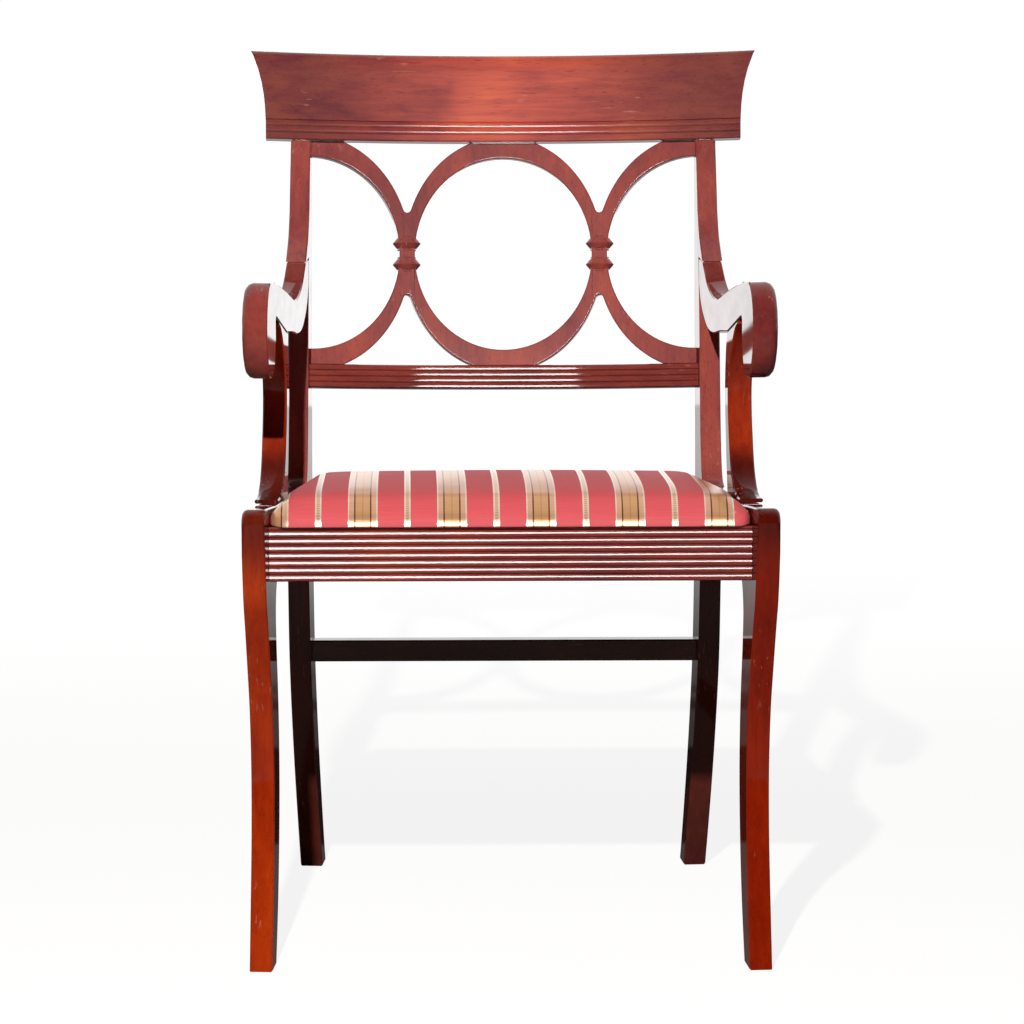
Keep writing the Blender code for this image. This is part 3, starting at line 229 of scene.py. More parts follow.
def cut_above(tree, value, low, high):
    """0 below a level and 1 above another."""
    node = new_node(tree, "ShaderNodeMapRange")
    node.inputs["From Min"].default_value = low
    node.inputs["From Max"].default_value = high
    link(tree, value, node.inputs["Value"])
    return node.outputs["Result"]


def between(tree, value, low, high):
    """1 between two levels and 0 outside them."""
    return math_node(tree, "MULTIPLY", math_node(tree, "GREATER_THAN", value, low),
                     math_node(tree, "LESS_THAN", value, high))


def stretched_noise(tree, vector, stretch, scale, detail, distortion=0.0):
    """Noise drawn out along the axes."""
    mapping = new_node(tree, "ShaderNodeMapping")
    mapping.inputs["Scale"].default_value = stretch
    link(tree, vector, mapping.inputs["Vector"])
    noise = new_node(tree, "ShaderNodeTexNoise")
    noise.inputs["Scale"].default_value = scale
    noise.inputs["Detail"].default_value = detail
    noise.inputs["Distortion"].default_value = distortion
    link(tree, mapping.outputs["Vector"], noise.inputs["Vector"])
    return noise.outputs["Fac"]


def new_group(name, inputs, outputs):
    """A shader node group with named sockets; returns it with its input and output nodes."""
    group = bpy.data.node_groups.new(name, "ShaderNodeTree")
    for label, kind in inputs:
        group.interface.new_socket(label, in_out="INPUT", socket_type=kind)
    for label, kind in outputs:
        group.interface.new_socket(label, in_out="OUTPUT", socket_type=kind)
    return group, group.nodes.new("NodeGroupInput"), group.nodes.new("NodeGroupOutput")


def wood_figure_group():
    """Figure of straight-grained wood along X: slow mottling, streaks and short dark pores."""
    group, given, result = new_group(
        "wood_figure", [("Vector", "NodeSocketVector")],
        [("Mottle", "NodeSocketFloat"), ("Streaks", "NodeSocketFloat"), ("Pores", "NodeSocketFloat")])
    vector = given.outputs["Vector"]
    mottle = stretched_noise(group, vector, (0.55, 1.0, 1.0), 15.0, 3.0, 0.4)
    streaks = stretched_noise(group, vector, (0.06, 1.0, 1.0), 150.0, 4.0, 0.6)
    specks = stretched_noise(group, vector, (0.05, 1.0, 1.0), 950.0, 2.0)
    link(group, mottle, result.inputs["Mottle"])
    link(group, streaks, result.inputs["Streaks"])
    link(group, cut_above(group, specks, 0.60, 0.72), result.inputs["Pores"])
    return group


def lacquer_group():
    """Hand-rubbed lacquer: its height with the pores sunk in, its smears and its scuffs."""
    group, given, result = new_group(
        "lacquer_film", [("Vector", "NodeSocketVector"), ("Pores", "NodeSocketFloat")],
        [("Height", "NodeSocketFloat"), ("Smear", "NodeSocketFloat"), ("Scuffs", "NodeSocketFloat")])
    vector = given.outputs["Vector"]
    ripple = stretched_noise(group, vector, (1.0, 1.0, 1.0), 34.0, 2.0)
    smear = stretched_noise(group, vector, (0.4, 1.0, 1.0), 60.0, 5.0)
    sunk = math_node(group, "MULTIPLY", given.outputs["Pores"], -0.10)
    link(group, math_node(group, "ADD", ripple, sunk), result.inputs["Height"])
    link(group, smear, result.inputs["Smear"])
    lines = cut_above(group, stretched_noise(group, vector, (0.10, 1.0, 1.0), 330.0, 1.0), 0.66, 0.72)
    places = cut_above(group, stretched_noise(group, vector, (0.7, 1.0, 1.0), 17.0, 2.0), 0.56, 0.66)
    link(group, math_node(group, "MULTIPLY", lines, places), result.inputs["Scuffs"])
    return group


# Wood: its node groups, and the turns that lay its grain along an axis
FIGURE = wood_figure_group()
LACQUER = lacquer_group()
ALONG_X = (0.0, 0.0, 0.0)
ALONG_Y = (0.0, 0.0, math.radians(90.0))
ALONG_Z = (0.0, math.radians(90.0), 0.0)
NO_SHIFT = (0.0, 0.0, 0.0)

# Mahogany: shares of its figure, and its coat
MOTTLE_SHARE = 0.65
STREAK_SHARE = 0.35
PORE_SHARE = 0.45
SCUFF_SHARE = 0.45
COAT_BLUR = 0.05
COAT_IOR = 1.45


def shader_of(material):
    """The material's Principled shader."""
    return material.node_tree.nodes["Principled BSDF"]


def new_material(name):
    """An empty material on a Principled shader."""
    material = bpy.data.materials.new(name)
    material.use_nodes = True
    return material


def place_vector(tree, turn, shift=NO_SHIFT):
    """Object coordinates turned so that the grain lies along X."""
    coords = new_node(tree, "ShaderNodeTexCoord")
    mapping = new_node(tree, "ShaderNodeMapping")
    mapping.inputs["Rotation"].default_value = turn
    mapping.inputs["Location"].default_value = shift
    link(tree, coords.outputs["Object"], mapping.inputs["Vector"])
    return mapping.outputs["Vector"]


def use_group(tree, group, **inputs):
    """Places a node group and feeds it."""
    node = new_node(tree, "ShaderNodeGroup", node_tree=group)
    for label, value in inputs.items():
        link(tree, value, node.inputs[label])
    return node.outputs


def add_bump(tree, shader, height, strength, distance):
    """Feeds a height into the shader's normal."""
    bump = new_node(tree, "ShaderNodeBump")
    bump.inputs["Strength"].default_value = strength
    bump.inputs["Distance"].default_value = distance
    link(tree, height, bump.inputs["Height"])
    link(tree, bump.outputs["Normal"], shader.inputs["Normal"])


def darken_along_axis(tree, colour, axis, start, end, tint):
    """Darkens a colour by a tint, from none at one place along an axis to all of it at another."""
    coords = new_node(tree, "ShaderNodeTexCoord")
    split = new_node(tree, "ShaderNodeSeparateXYZ")
    link(tree, coords.outputs["Object"], split.inputs[0])
    share = rising(tree, math_node(tree, "ABSOLUTE", split.outputs[axis]), start, end, 0.0, 1.0)
    return mix_colour(tree, share, colour, tint, "MULTIPLY")


def mahogany(name, turn, tones, shift=NO_SHIFT, shade_and_stains=(), haze=0.0, blur=COAT_BLUR):
    """Lacquered mahogany; tones run from the dark to the light wood, and darkenings along an axis darken
    it; some of them are painted shade.
    """
    material = new_material(name)
    tree = material.node_tree
    shader = shader_of(material)
    vector = place_vector(tree, turn, shift)
    figure = use_group(tree, FIGURE, Vector=vector)
    film = use_group(tree, LACQUER, Vector=vector, Pores=figure["Pores"])
    blend = math_node(tree, "ADD", math_node(tree, "MULTIPLY", figure["Mottle"], MOTTLE_SHARE),
                      math_node(tree, "MULTIPLY", figure["Streaks"], STREAK_SHARE))
    colour = ramp_node(tree, blend, [(0.32, tones[0]), (0.48, tones[1]), (0.66, tones[2])])
    colour = mix_colour(tree, math_node(tree, "MULTIPLY", figure["Pores"], PORE_SHARE), colour, PORE_TONE)
    # Some of these darkenings are painted shade.
    for darkening in shade_and_stains:
        colour = darken_along_axis(tree, colour, *darkening)
    colour = mix_colour(tree, math_node(tree, "MULTIPLY", film["Scuffs"], SCUFF_SHARE), colour, SCUFF_TONE)
    link(tree, colour, shader.inputs["Base Color"])
    link(tree, spread(tree, film["Smear"], 0.28, 0.44), shader.inputs["Roughness"])
    shader.inputs["Specular IOR Level"].default_value = haze
    link(tree, spread(tree, film["Smear"], 0.76, 1.0), shader.inputs["Coat Weight"])
    shader.inputs["Coat Roughness"].default_value = blur
    shader.inputs["Coat IOR"].default_value = COAT_IOR
    add_bump(tree, shader, film["Height"], 0.12, 0.0016)
    return material


# Mahogany: tones of each board from dark to light, the left side's painted lit and the right side's painted
# shaded, and darkenings as axis, start, end and tint, those of the crest and the posts being painted shade
PORE_TONE = (0.050, 0.006, 0.003)
SCUFF_TONE = (0.52, 0.24, 0.19)
# Painted light: the left leg's tones are lighter as if lit, and the right leg's darker as if in shade.
LIT_LEFT_LEG_TONES = [(0.26, 0.015, 0.0020), (0.38, 0.027, 0.0030), (0.50, 0.046, 0.0046)]
SHADED_RIGHT_LEG_TONES = [(0.17, 0.0075, 0.0012), (0.26, 0.0125, 0.0017), (0.34, 0.021, 0.0026)]
SUPPORT_TONES = [(0.18, 0.013, 0.0040), (0.28, 0.022, 0.0062), (0.38, 0.034, 0.0080)]
# Painted sheen: the posts' tones carry a grey haze in their green and blue, as a reflection would.
POST_TONES_WITH_PAINTED_SHEEN = [(0.21, 0.044, 0.044), (0.32, 0.066, 0.058), (0.44, 0.092, 0.064)]
# Painted light: the left arm's tones are lighter as if lit, and the right arm's darker as if in shade; the
# side rails take the left arm's lit tones.
LIT_LEFT_ARM_TONES = [(0.15, 0.028, 0.028), (0.24, 0.042, 0.036), (0.33, 0.056, 0.038)]
SHADED_RIGHT_ARM_TONES = [(0.13, 0.020, 0.020), (0.20, 0.030, 0.027), (0.28, 0.042, 0.030)]
CREST_TONES = [(0.33, 0.050, 0.042), (0.55, 0.086, 0.056), (0.76, 0.140, 0.064)]
FRET_TONES = [(0.21, 0.042, 0.042), (0.32, 0.060, 0.050), (0.43, 0.078, 0.050)]
RAIL_TONES = [(0.13, 0.026, 0.024), (0.23, 0.042, 0.034), (0.33, 0.058, 0.036)]
# Painted shade: the stretcher under the seat takes a near-black shaded copy of the mahogany.
STRETCHER_SHADED_TONES = [(0.060, 0.014, 0.008), (0.095, 0.021, 0.011), (0.140, 0.032, 0.014)]
# Darker towards the tops of the front legs.
KNEE_DARKENING = ("Z", 0.37, 0.46, (0.34, 0.40, 1.4))
# Painted light on the crest: darker towards its ends as if in shade, leaving its middle bright as if lit by
# the lamp's glow.
CREST_PAINTED_SHADE = ("X", 0.01, 0.22, (0.34, 0.42, 0.66))
# Darker towards the foot of each arm support.
SUPPORT_FOOT_DARKENING = ("Z", 0.510, 0.484, (0.32, 0.40, 0.90))
# Painted shade: the back posts darken below the seat, on the rear legs, as if in the seat's shadow.
POST_PAINTED_UNDER_SEAT_SHADE = ("Z", 0.47, 0.37, (0.36, 0.30, 0.24))
BACK_HAZE = 0.12
CREST_BLUR = 0.15

mahogany_left_leg = mahogany("mahogany_left_leg", ALONG_Z, LIT_LEFT_LEG_TONES, shade_and_stains=[KNEE_DARKENING])
mahogany_right_leg = mahogany("mahogany_right_leg", ALONG_Z, SHADED_RIGHT_LEG_TONES, (0.0, 0.6, 0.0), [KNEE_DARKENING])
mahogany_support = mahogany("mahogany_support", ALONG_Z, SUPPORT_TONES, (0.4, 0.0, 0.0), [SUPPORT_FOOT_DARKENING])
mahogany_post_painted_sheen_and_shade = mahogany("mahogany_post_painted_sheen_and_shade", ALONG_Z, POST_TONES_WITH_PAINTED_SHEEN, (0.0, 0.3, 0.0), [POST_PAINTED_UNDER_SEAT_SHADE])
mahogany_left_arm = mahogany("mahogany_left_arm", ALONG_Y, LIT_LEFT_ARM_TONES)
mahogany_right_arm = mahogany("mahogany_right_arm", ALONG_Y, SHADED_RIGHT_ARM_TONES, (0.3, 0.0, 0.0))
mahogany_crest_painted_shade = mahogany("mahogany_crest_painted_shade", ALONG_X, CREST_TONES, shade_and_stains=[CREST_PAINTED_SHADE], haze=BACK_HAZE,
                          blur=CREST_BLUR)
mahogany_fret = mahogany("mahogany_fret", ALONG_Z, FRET_TONES, haze=BACK_HAZE)
mahogany_rail = mahogany("mahogany_rail", ALONG_X, RAIL_TONES)
mahogany_shaded_stretcher = mahogany("mahogany_shaded_stretcher", ALONG_X, STRETCHER_SHADED_TONES)


def beech(name, turn):
    """Bare beech with fine flecks."""
    material = new_material(name)
    tree = material.node_tree
    shader = shader_of(material)
    vector = place_vector(tree, turn)
    figure = use_group(tree, FIGURE, Vector=vector)
    colour = ramp_node(tree, figure["Streaks"], [(0.30, (0.42, 0.25, 0.13)), (0.70, (0.60, 0.41, 0.24))])
    colour = mix_colour(tree, math_node(tree, "MULTIPLY", figure["Pores"], 0.5), colour, (0.26, 0.14, 0.07))
    link(tree, colour, shader.inputs["Base Color"])
    link(tree, spread(tree, figure["Mottle"], 0.50, 0.68), shader.inputs["Roughness"])
    add_bump(tree, shader, figure["Streaks"], 0.15, 0.0006)
    return material


def weave(name, dark, light, repeat):
    """Plain woven cloth on Object coordinates."""
    material = new_material(name)
    tree = material.node_tree
    shader = shader_of(material)
    vector = place_vector(tree, ALONG_X)
    waves = []
    for axis in ("X", "Y"):
        wave = new_node(tree, "ShaderNodeTexWave", bands_direction=axis)
        wave.inputs["Scale"].default_value = repeat
        wave.inputs["Distortion"].default_value = 0.6
        link(tree, vector, wave.inputs["Vector"])
        waves.append(wave.outputs["Fac"])
    threads = math_node(tree, "MULTIPLY", *waves)
    fuzz = stretched_noise(tree, vector, (1.0, 1.0, 1.0), 90.0, 4.0)
    shade = math_node(tree, "MULTIPLY", threads, math_node(tree, "ADD", fuzz, 0.5))
    link(tree, ramp_node(tree, shade, [(0.1, dark), (0.7, light)]), shader.inputs["Base Color"])
    link(tree, spread(tree, fuzz, 0.78, 0.95), shader.inputs["Roughness"])
    add_bump(tree, shader, threads, 0.4, 0.0008)
    return material


beech_x = beech("beech_along_x", ALONG_X)
beech_y = beech("beech_along_y", ALONG_Y)
jute = weave("jute_webbing_weave", (0.22, 0.14, 0.07), (0.52, 0.38, 0.22), 160.0)
cambric = weave("black_cambric_weave", (0.006, 0.006, 0.006), (0.03, 0.03, 0.03), 320.0)


def steel():
    """Plain steel of the block screws."""
    material = new_material("screw_steel_plain")
    tree = material.node_tree
    shader = shader_of(material)
    rub = stretched_noise(tree, place_vector(tree, ALONG_X), (1.0, 1.0, 6.0), 400.0, 3.0)
    tone = ramp_node(tree, rub, [(0.3, (0.34, 0.33, 0.31)), (0.7, (0.56, 0.55, 0.53))])
    link(tree, tone, shader.inputs["Base Color"])
    link(tree, spread(tree, rub, 0.26, 0.44), shader.inputs["Roughness"])
    shader.inputs["Metallic"].default_value = 1.0
    return material


# Satin: its colours, and one repeat of the stripes as share and colour
CRIMSON = (0.76, 0.108, 0.119)
CREAM = (0.90, 0.76, 0.60)
BEIGE = (0.80, 0.44, 0.27)
TAN = (0.73, 0.38, 0.18)
OCHRE = (0.54, 0.28, 0.10)
BROWN = (0.14, 0.030, 0.015)
STRIPES = [(0.000, CREAM), (0.010, CREAM), (0.016, BEIGE), (0.066, BEIGE), (0.071, BROWN), (0.081, BROWN),
           (0.086, TAN), (0.156, TAN), (0.165, OCHRE), (0.174, TAN), (0.244, TAN), (0.249, BROWN),
           (0.259, BROWN), (0.264, BEIGE), (0.314, BEIGE), (0.320, CREAM), (0.330, CREAM), (0.333, CRIMSON),
           (0.630, CRIMSON), (0.633, CREAM), (0.644, CREAM), (0.650, TAN), (0.682, TAN), (0.688, CREAM),
           (0.699, CREAM), (0.702, CRIMSON), (1.000, CRIMSON)]

# Satin: gold parts of the repeat, rungs of the narrow stripe, and gloss
BAND_END = 0.332
NARROW_STRIPE = (0.631, 0.701)
LADDER = (0.645, 0.687)
RUNGS_PER_METRE = 230.0
RUNG_SHARE = 0.38
RUNG_STRENGTH = 0.7
SATIN_ROUGHNESS = 0.62
GOLD_SMOOTHNESS = -0.33
GOLD_METAL = 0.40


def striped_satin():
    """Crimson satin with gold bands and narrow ladder stripes running from front to back."""
    material = new_material("striped_satin")
    tree = material.node_tree
    shader = shader_of(material)
    vector = place_vector(tree, ALONG_X)
    split = new_node(tree, "ShaderNodeSeparateXYZ")
    link(tree, vector, split.inputs[0])
    lay = new_node(tree, "ShaderNodeAttribute", attribute_name="across")
    run = math_node(tree, "SUBTRACT", lay.outputs["Fac"], STRIPE_START)
    share = math_node(tree, "FRACT", math_node(tree, "DIVIDE", run, STRIPE_REPEAT))
    along = math_node(tree, "ADD", split.outputs["Y"], split.outputs["Z"])
    colour = ramp_node(tree, share, STRIPES)
    rungs = math_node(tree, "FRACT", math_node(tree, "MULTIPLY", along, RUNGS_PER_METRE))
    rung = math_node(tree, "LESS_THAN", rungs, RUNG_SHARE)
    ladder = math_node(tree, "MULTIPLY", rung, between(tree, share, *LADDER))
    colour = mix_colour(tree, math_node(tree, "MULTIPLY", ladder, RUNG_STRENGTH), colour, CREAM)
    gold = math_node(tree, "MAXIMUM", math_node(tree, "LESS_THAN", share, BAND_END),
                     between(tree, share, *NARROW_STRIPE))
    slub = stretched_noise(tree, vector, (0.02, 1.0, 1.0), 1400.0, 3.0)
    shade = spread(tree, slub, 0.80, 1.16)
    colour = mix_colour(tree, 1.0, colour, shade, "MULTIPLY")
    link(tree, colour, shader.inputs["Base Color"])
    roughness = math_node(tree, "ADD", math_node(tree, "MULTIPLY", gold, GOLD_SMOOTHNESS), SATIN_ROUGHNESS)
    link(tree, roughness, shader.inputs["Roughness"])
    link(tree, math_node(tree, "MULTIPLY", gold, GOLD_METAL), shader.inputs["Metallic"])
    shader.inputs["Specular IOR Level"].default_value = 0.20
    raised = math_node(tree, "ADD", math_node(tree, "MULTIPLY", gold, 0.6),
                       math_node(tree, "MULTIPLY", slub, 0.5))
    add_bump(tree, shader, raised, 0.25, 0.0004)
    return material


satin = striped_satin()
screw_steel = steel()

# Finish of a CAD node by a word in its name; the first word found counts
FINISHES = [
    ("dowel", beech_x), ("screw", screw_steel), ("corner_block", beech_x),
    ("crest_rail", mahogany_crest_painted_shade), ("lower_back_rail", mahogany_rail), ("back_post", mahogany_post_painted_sheen_and_shade),
    ("left_front_leg", mahogany_left_leg), ("front_leg", mahogany_right_leg),
    ("arm_support", mahogany_support), ("left_arm", mahogany_left_arm), ("right_arm", mahogany_right_arm),
    ("front_seat_rail", mahogany_rail), ("rear_seat_rail", mahogany_rail), ("side_rail", mahogany_left_arm),
    ("rear_stretcher", mahogany_shaded_stretcher),
    ("seat_frame_front", beech_x), ("seat_frame_rear", beech_x), ("seat_frame", beech_y)]


def finish_of(name):
    """The finish of a CAD node, by the first word of the list in its name."""
    return next((material for word, material in FINISHES if word in name), None)


def crisp(piece, angle):
    """Keeps edges over an angle sharp, and shades the faces between them evenly."""
    split = piece.modifiers.new("crisp_edges", "EDGE_SPLIT")
    split.split_angle = angle
    piece.modifiers.new("even_faces", "WEIGHTED_NORMAL")


def thicken(piece, depth):
    """Gives a cloth its thickness, inwards."""
    thick = piece.modifiers.new("cloth_thickness", "SOLIDIFY")
    thick.thickness = depth
    thick.offset = -1.0


def refine(piece, levels):
    """Rounds a piece by subdivision."""
    finer = piece.modifiers.new("finer", "SUBSURF")
    finer.levels = levels
    finer.render_levels = levels


def dress(name, node):
    """Gives a CAD node its finish and smooth shading."""
    material = finish_of(name)
    if material is None:
        return
    node.data.materials.clear()
    node.data.materials.append(material)
    for face in node.data.polygons:
        face.use_smooth = True
    weld = node.modifiers.new("weld", "WELD")
    weld.merge_threshold = WELD
    crisp(node, CRISP_ANGLE)


for node_name, node_object in NODES.items():
    dress(node_name, node_object)


def add_piece(name, bm, material):
    """Turns a bmesh into a shown piece."""
    mesh = bpy.data.meshes.new(name)
    bm.to_mesh(mesh)
    bm.free()
    mesh.materials.append(material)
    piece = bpy.data.objects.new(name, mesh)
    bpy.context.scene.collection.objects.link(piece)
    return piece


def apply_modifiers(piece):
    """Bakes a piece's modifiers into its mesh."""
    graph = bpy.context.evaluated_depsgraph_get()
    baked = bpy.data.meshes.new_from_object(piece.evaluated_get(graph))
    piece.modifiers.clear()
    piece.data = baked


def whole(bm):
    """All the points, edges and faces of a bmesh."""
    return list(bm.verts) + list(bm.edges) + list(bm.faces)


def points_of(parts):
    """The points among the parts of a bmesh."""
    return [part for part in parts if isinstance(part, bmesh.types.BMVert)]


def clamped(share):
    """A share kept between none and all."""
    return max(0.0, min(1.0, share))


def pad_form():
    """Closed form of the pad: the hull of the CAD cover."""
    bm = bmesh.new()
    bm.from_mesh(NODES["seat_cover"].data)
    bmesh.ops.remove_doubles(bm, verts=bm.verts, dist=WELD)
    hull = bmesh.ops.convex_hull(bm, input=bm.verts)
    loose = points_of(hull["geom_interior"] + hull["geom_unused"])
    bmesh.ops.delete(bm, geom=loose, context="VERTS")
    bmesh.ops.recalc_face_normals(bm, faces=bm.faces)
    return bm


def seat_up():
    """Direction square to the seat plane."""
    return Vector((0.0, math.sin(SEAT_RAKE), math.cos(SEAT_RAKE)))


def swell(piece, floor):
    """Blows the cover up over its pad with a cloth simulation, holding its foot."""
    rest = [vert.co.copy() for vert in piece.data.vertices]
    up = seat_up()
    held = piece.vertex_groups.new(name="held")
    for vert in piece.data.vertices:
        height = vert.co.dot(up) - floor
        held.add([vert.index], clamped(HOLD_START - height / HOLD_HEIGHT), "REPLACE")
    cloth = piece.modifiers.new("cloth", "CLOTH")
    cloth.settings.quality = 6
    cloth.settings.mass = 0.25
    cloth.settings.tension_stiffness = 18.0
    cloth.settings.compression_stiffness = 18.0
    cloth.settings.bending_stiffness = 1.2
    cloth.settings.use_pressure = True
    cloth.settings.uniform_pressure_force = 4.0
    cloth.settings.vertex_group_mass = "held"
    cloth.settings.effector_weights.gravity = 0.0
    cloth.collision_settings.use_collision = False
    scene = bpy.context.scene
    for step in range(1, SWELL_FRAMES + 1):
        scene.frame_set(step)
    graph = bpy.context.evaluated_depsgraph_get()
    moved = [vert.co.copy() for vert in piece.evaluated_get(graph).data.vertices]
    piece.modifiers.remove(cloth)
    scene.frame_set(1)
    for vert, start, end in zip(piece.data.vertices, rest, moved):
        step = end - start
        if step.length > SWELL_LIMIT:
            step *= SWELL_LIMIT / step.length
        vert.co = start + step


def fit_to_pad(piece, pad):
    """Keeps the swollen cover close to the pad's form, and outside the wooden frame at its foot."""
    up = seat_up()
    for vert in piece.data.vertices:
        place, normal, _, _ = pad.find_nearest(vert.co)
        stand = (vert.co - place).dot(normal)
        most = PROUD + (PROUD_TOP - PROUD) * max(normal.dot(up), 0.0)
        vert.co += normal * (min(max(stand, 0.0), most) - stand)


def relax(piece, times):
    """Smooths a piece."""
    smooth = piece.modifiers.new("relax", "SMOOTH")
    smooth.iterations = times
    apply_modifiers(piece)


def front_share(place):
    """0 behind the shoulder of the seat and 1 before it."""
    return clamped((SHOULDER_BACK - place.y) / (SHOULDER_BACK - SHOULDER_FRONT))


def relax_shoulder(piece, floor, times):
    """Smooths the front of the cover above its foot, more and more towards the roll."""
    up = seat_up()
    shoulder = piece.vertex_groups.new(name="shoulder")
    for vert in piece.data.vertices:
        raised = clamped((vert.co.dot(up) - floor - SHOULDER_LOW) / (SHOULDER_HIGH - SHOULDER_LOW))
        shoulder.add([vert.index], raised * front_share(vert.co), "REPLACE")
    smooth = piece.modifiers.new("relax_shoulder", "SMOOTH")
    smooth.iterations = times
    smooth.vertex_group = "shoulder"
    apply_modifiers(piece)


def even(piece, times):
    """Smooths a piece and keeps its size, by steps in and out."""
    for _ in range(times):
        for factor in EVEN_STEPS:
            step = piece.modifiers.new("even", "SMOOTH")
            step.factor = factor
            step.iterations = 1
    apply_modifiers(piece)


def front_roll(height):
    """How far the front of the cover stands out at a height: most at its foot, leaning back above."""
    if height < BULGE_HEIGHT:
        return BULGE * (1.0 - (max(height, 0.0) / BULGE_HEIGHT) ** 2)
    fade = min((height - BULGE_HEIGHT) / BULGE_FADE, 1.0)
    return -2.0 * BULGE / BULGE_HEIGHT * BULGE_FADE * (fade - fade ** 2 / 2)


def lean_back(piece, floor):
    """Rolls the front of the cover back from its foot, so that no flat side is left."""
    up = seat_up()
    facing = [vert.normal.copy() for vert in piece.data.vertices]
    for vert, normal in zip(piece.data.vertices, facing):
        height = vert.co.dot(up) - floor
        vert.co.x += normal.x * CORNER_BULGE * front_share(vert.co) * clamped(1.0 - height / CORNER_HEIGHT)
        vert.co.y -= max(-normal.y, 0.0) * front_roll(height)


def drop_front(bm, floor):
    """Lets the front of the hem hang a little before the front rail."""
    up = seat_up()
    for vert in bm.verts:
        before = clamped((RAIL_FACE - vert.co.y) / DROP_RUN)
        vert.co -= up * FRONT_DROP * before * clamped(1.0 - (vert.co.dot(up) - floor) / DROP_HEIGHT)


def turn_hem(bm, floor):
    """Cuts the cover off at the frame's underside and turns its edge in below the frame."""
    up = seat_up()
    line = up * (floor + HEM_LINE)
    bmesh.ops.bisect_plane(bm, geom=whole(bm), dist=SNAP, plane_co=line, plane_no=up, clear_inner=True)
    bm.normal_update()
    inward = {}
    for drop, width in ((HEM_DROP, HEM_TUCK), (0.0, HEM_WIDTH)):
        edge = [one for one in bm.edges if one.is_boundary]
        for vert in {vert for one in edge for vert in one.verts}:
            flat = vert.normal - up * vert.normal.dot(up)
            inward.setdefault(vert, -flat.normalized())
        added = bmesh.ops.extrude_edge_only(bm, edges=edge)["geom"]
        for vert in points_of(added):
            near = (other for one in vert.link_edges for other in one.verts if other in inward)
            inward[vert] = inward[next(near)]
            vert.co += inward[vert] * width - up * drop
    bmesh.ops.recalc_face_normals(bm, faces=bm.faces)


def lay_stripes(piece, floor):
    """Stores how far across the cloth each point lies, with the cloth turned down over the seat's sides."""
    up = seat_up()
    across = piece.data.attributes.new("across", "FLOAT", "POINT")
    for vert in piece.data.vertices:
        side = clamped((abs(vert.normal.x) - SIDE_SLOPE) / SIDE_SPAN)
        fall = side * max(PAD_TOP - (vert.co.dot(up) - floor), 0.0)
        across.data[vert.index].value = vert.co.x + math.copysign(fall, vert.co.x)


def seat_cushion():
    """Stuffed seat under its striped cover."""
    form = pad_form()
    up = seat_up()
    floor = min(vert.co.dot(up) for vert in form.verts)
    for vert in form.verts:
        if vert.co.dot(up) - floor < FOOT_DEPTH / 2:
            vert.co -= up * FOOT_DEPTH
    pad = BVHTree.FromBMesh(form)
    for vert in form.verts:
        vert.co -= up * SLACK * max(vert.co.dot(up) - floor, 0.0)
    cushion = add_piece("striped_seat", form, satin)
    remesh = cushion.modifiers.new("remesh", "REMESH")
    remesh.mode = "VOXEL"
    remesh.voxel_size = VOXEL
    relax(cushion, RELAX_FIRST)
    swell(cushion, floor)
    fit_to_pad(cushion, pad)
    relax(cushion, RELAX_FITTED)
    even(cushion, EVEN_FITTED)
    relax_shoulder(cushion, floor, RELAX_SHOULDER)
    lean_back(cushion, floor)
    even(cushion, EVEN_LAST)
    bm = bmesh.new()
    bm.from_mesh(cushion.data)
    turn_hem(bm, floor)
    drop_front(bm, floor)
    for face in bm.faces:
        face.smooth = True
    bm.to_mesh(cushion.data)
    bm.free()
    cushion.data.materials.clear()
    cushion.data.materials.append(satin)
    lay_stripes(cushion, floor)
    refine(cushion, 1)
    thicken(cushion, COVER_THICK)
    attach(cushion, "seat")
    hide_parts("seat_cover", "seat_foam")


def add_sheet(name, bm, material, body):
    """A shown piece of cloth on a body, smooth shaded."""
    for face in bm.faces:
        face.smooth = True
    piece = add_piece(name, bm, material)
    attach(piece, body)
    return piece


def webbing_strip(name):
    """A jute strip with its woven bends smoothed, on the run of the CAD strip."""
    bm = bmesh.new()
    bm.from_mesh(NODES[name].data)
    bmesh.ops.remove_doubles(bm, verts=bm.verts, dist=WELD)
    bmesh.ops.dissolve_limit(bm, angle_limit=FLAT_ANGLE, verts=bm.verts, edges=bm.edges)
    crease = bm.edges.layers.float.new("crease_edge")
    for edge in bm.edges:
        if edge.calc_face_angle(0.0) > BEND_ANGLE:
            edge[crease] = 1.0
    up = seat_up()
    top = sum(face.calc_area() for face in bm.faces if face.normal.dot(up) > 0.5)
    strip = add_sheet("jute_" + name[len("seat_"):], bm, jute, "seat")
    refine(strip, 2)
    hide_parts(name)


def opening_share(place, low, high):
    """1 in the middle of the frame's opening, 0 at its edge."""
    share = 1.0
    for axis in (0, 1):
        middle = (low[axis] + high[axis]) / 2
        half = (high[axis] - low[axis]) / 2 - MEMBER_WIDTH
        share *= max(1.0 - ((place[axis] - middle) / half) ** 2, 0.0)
    return share


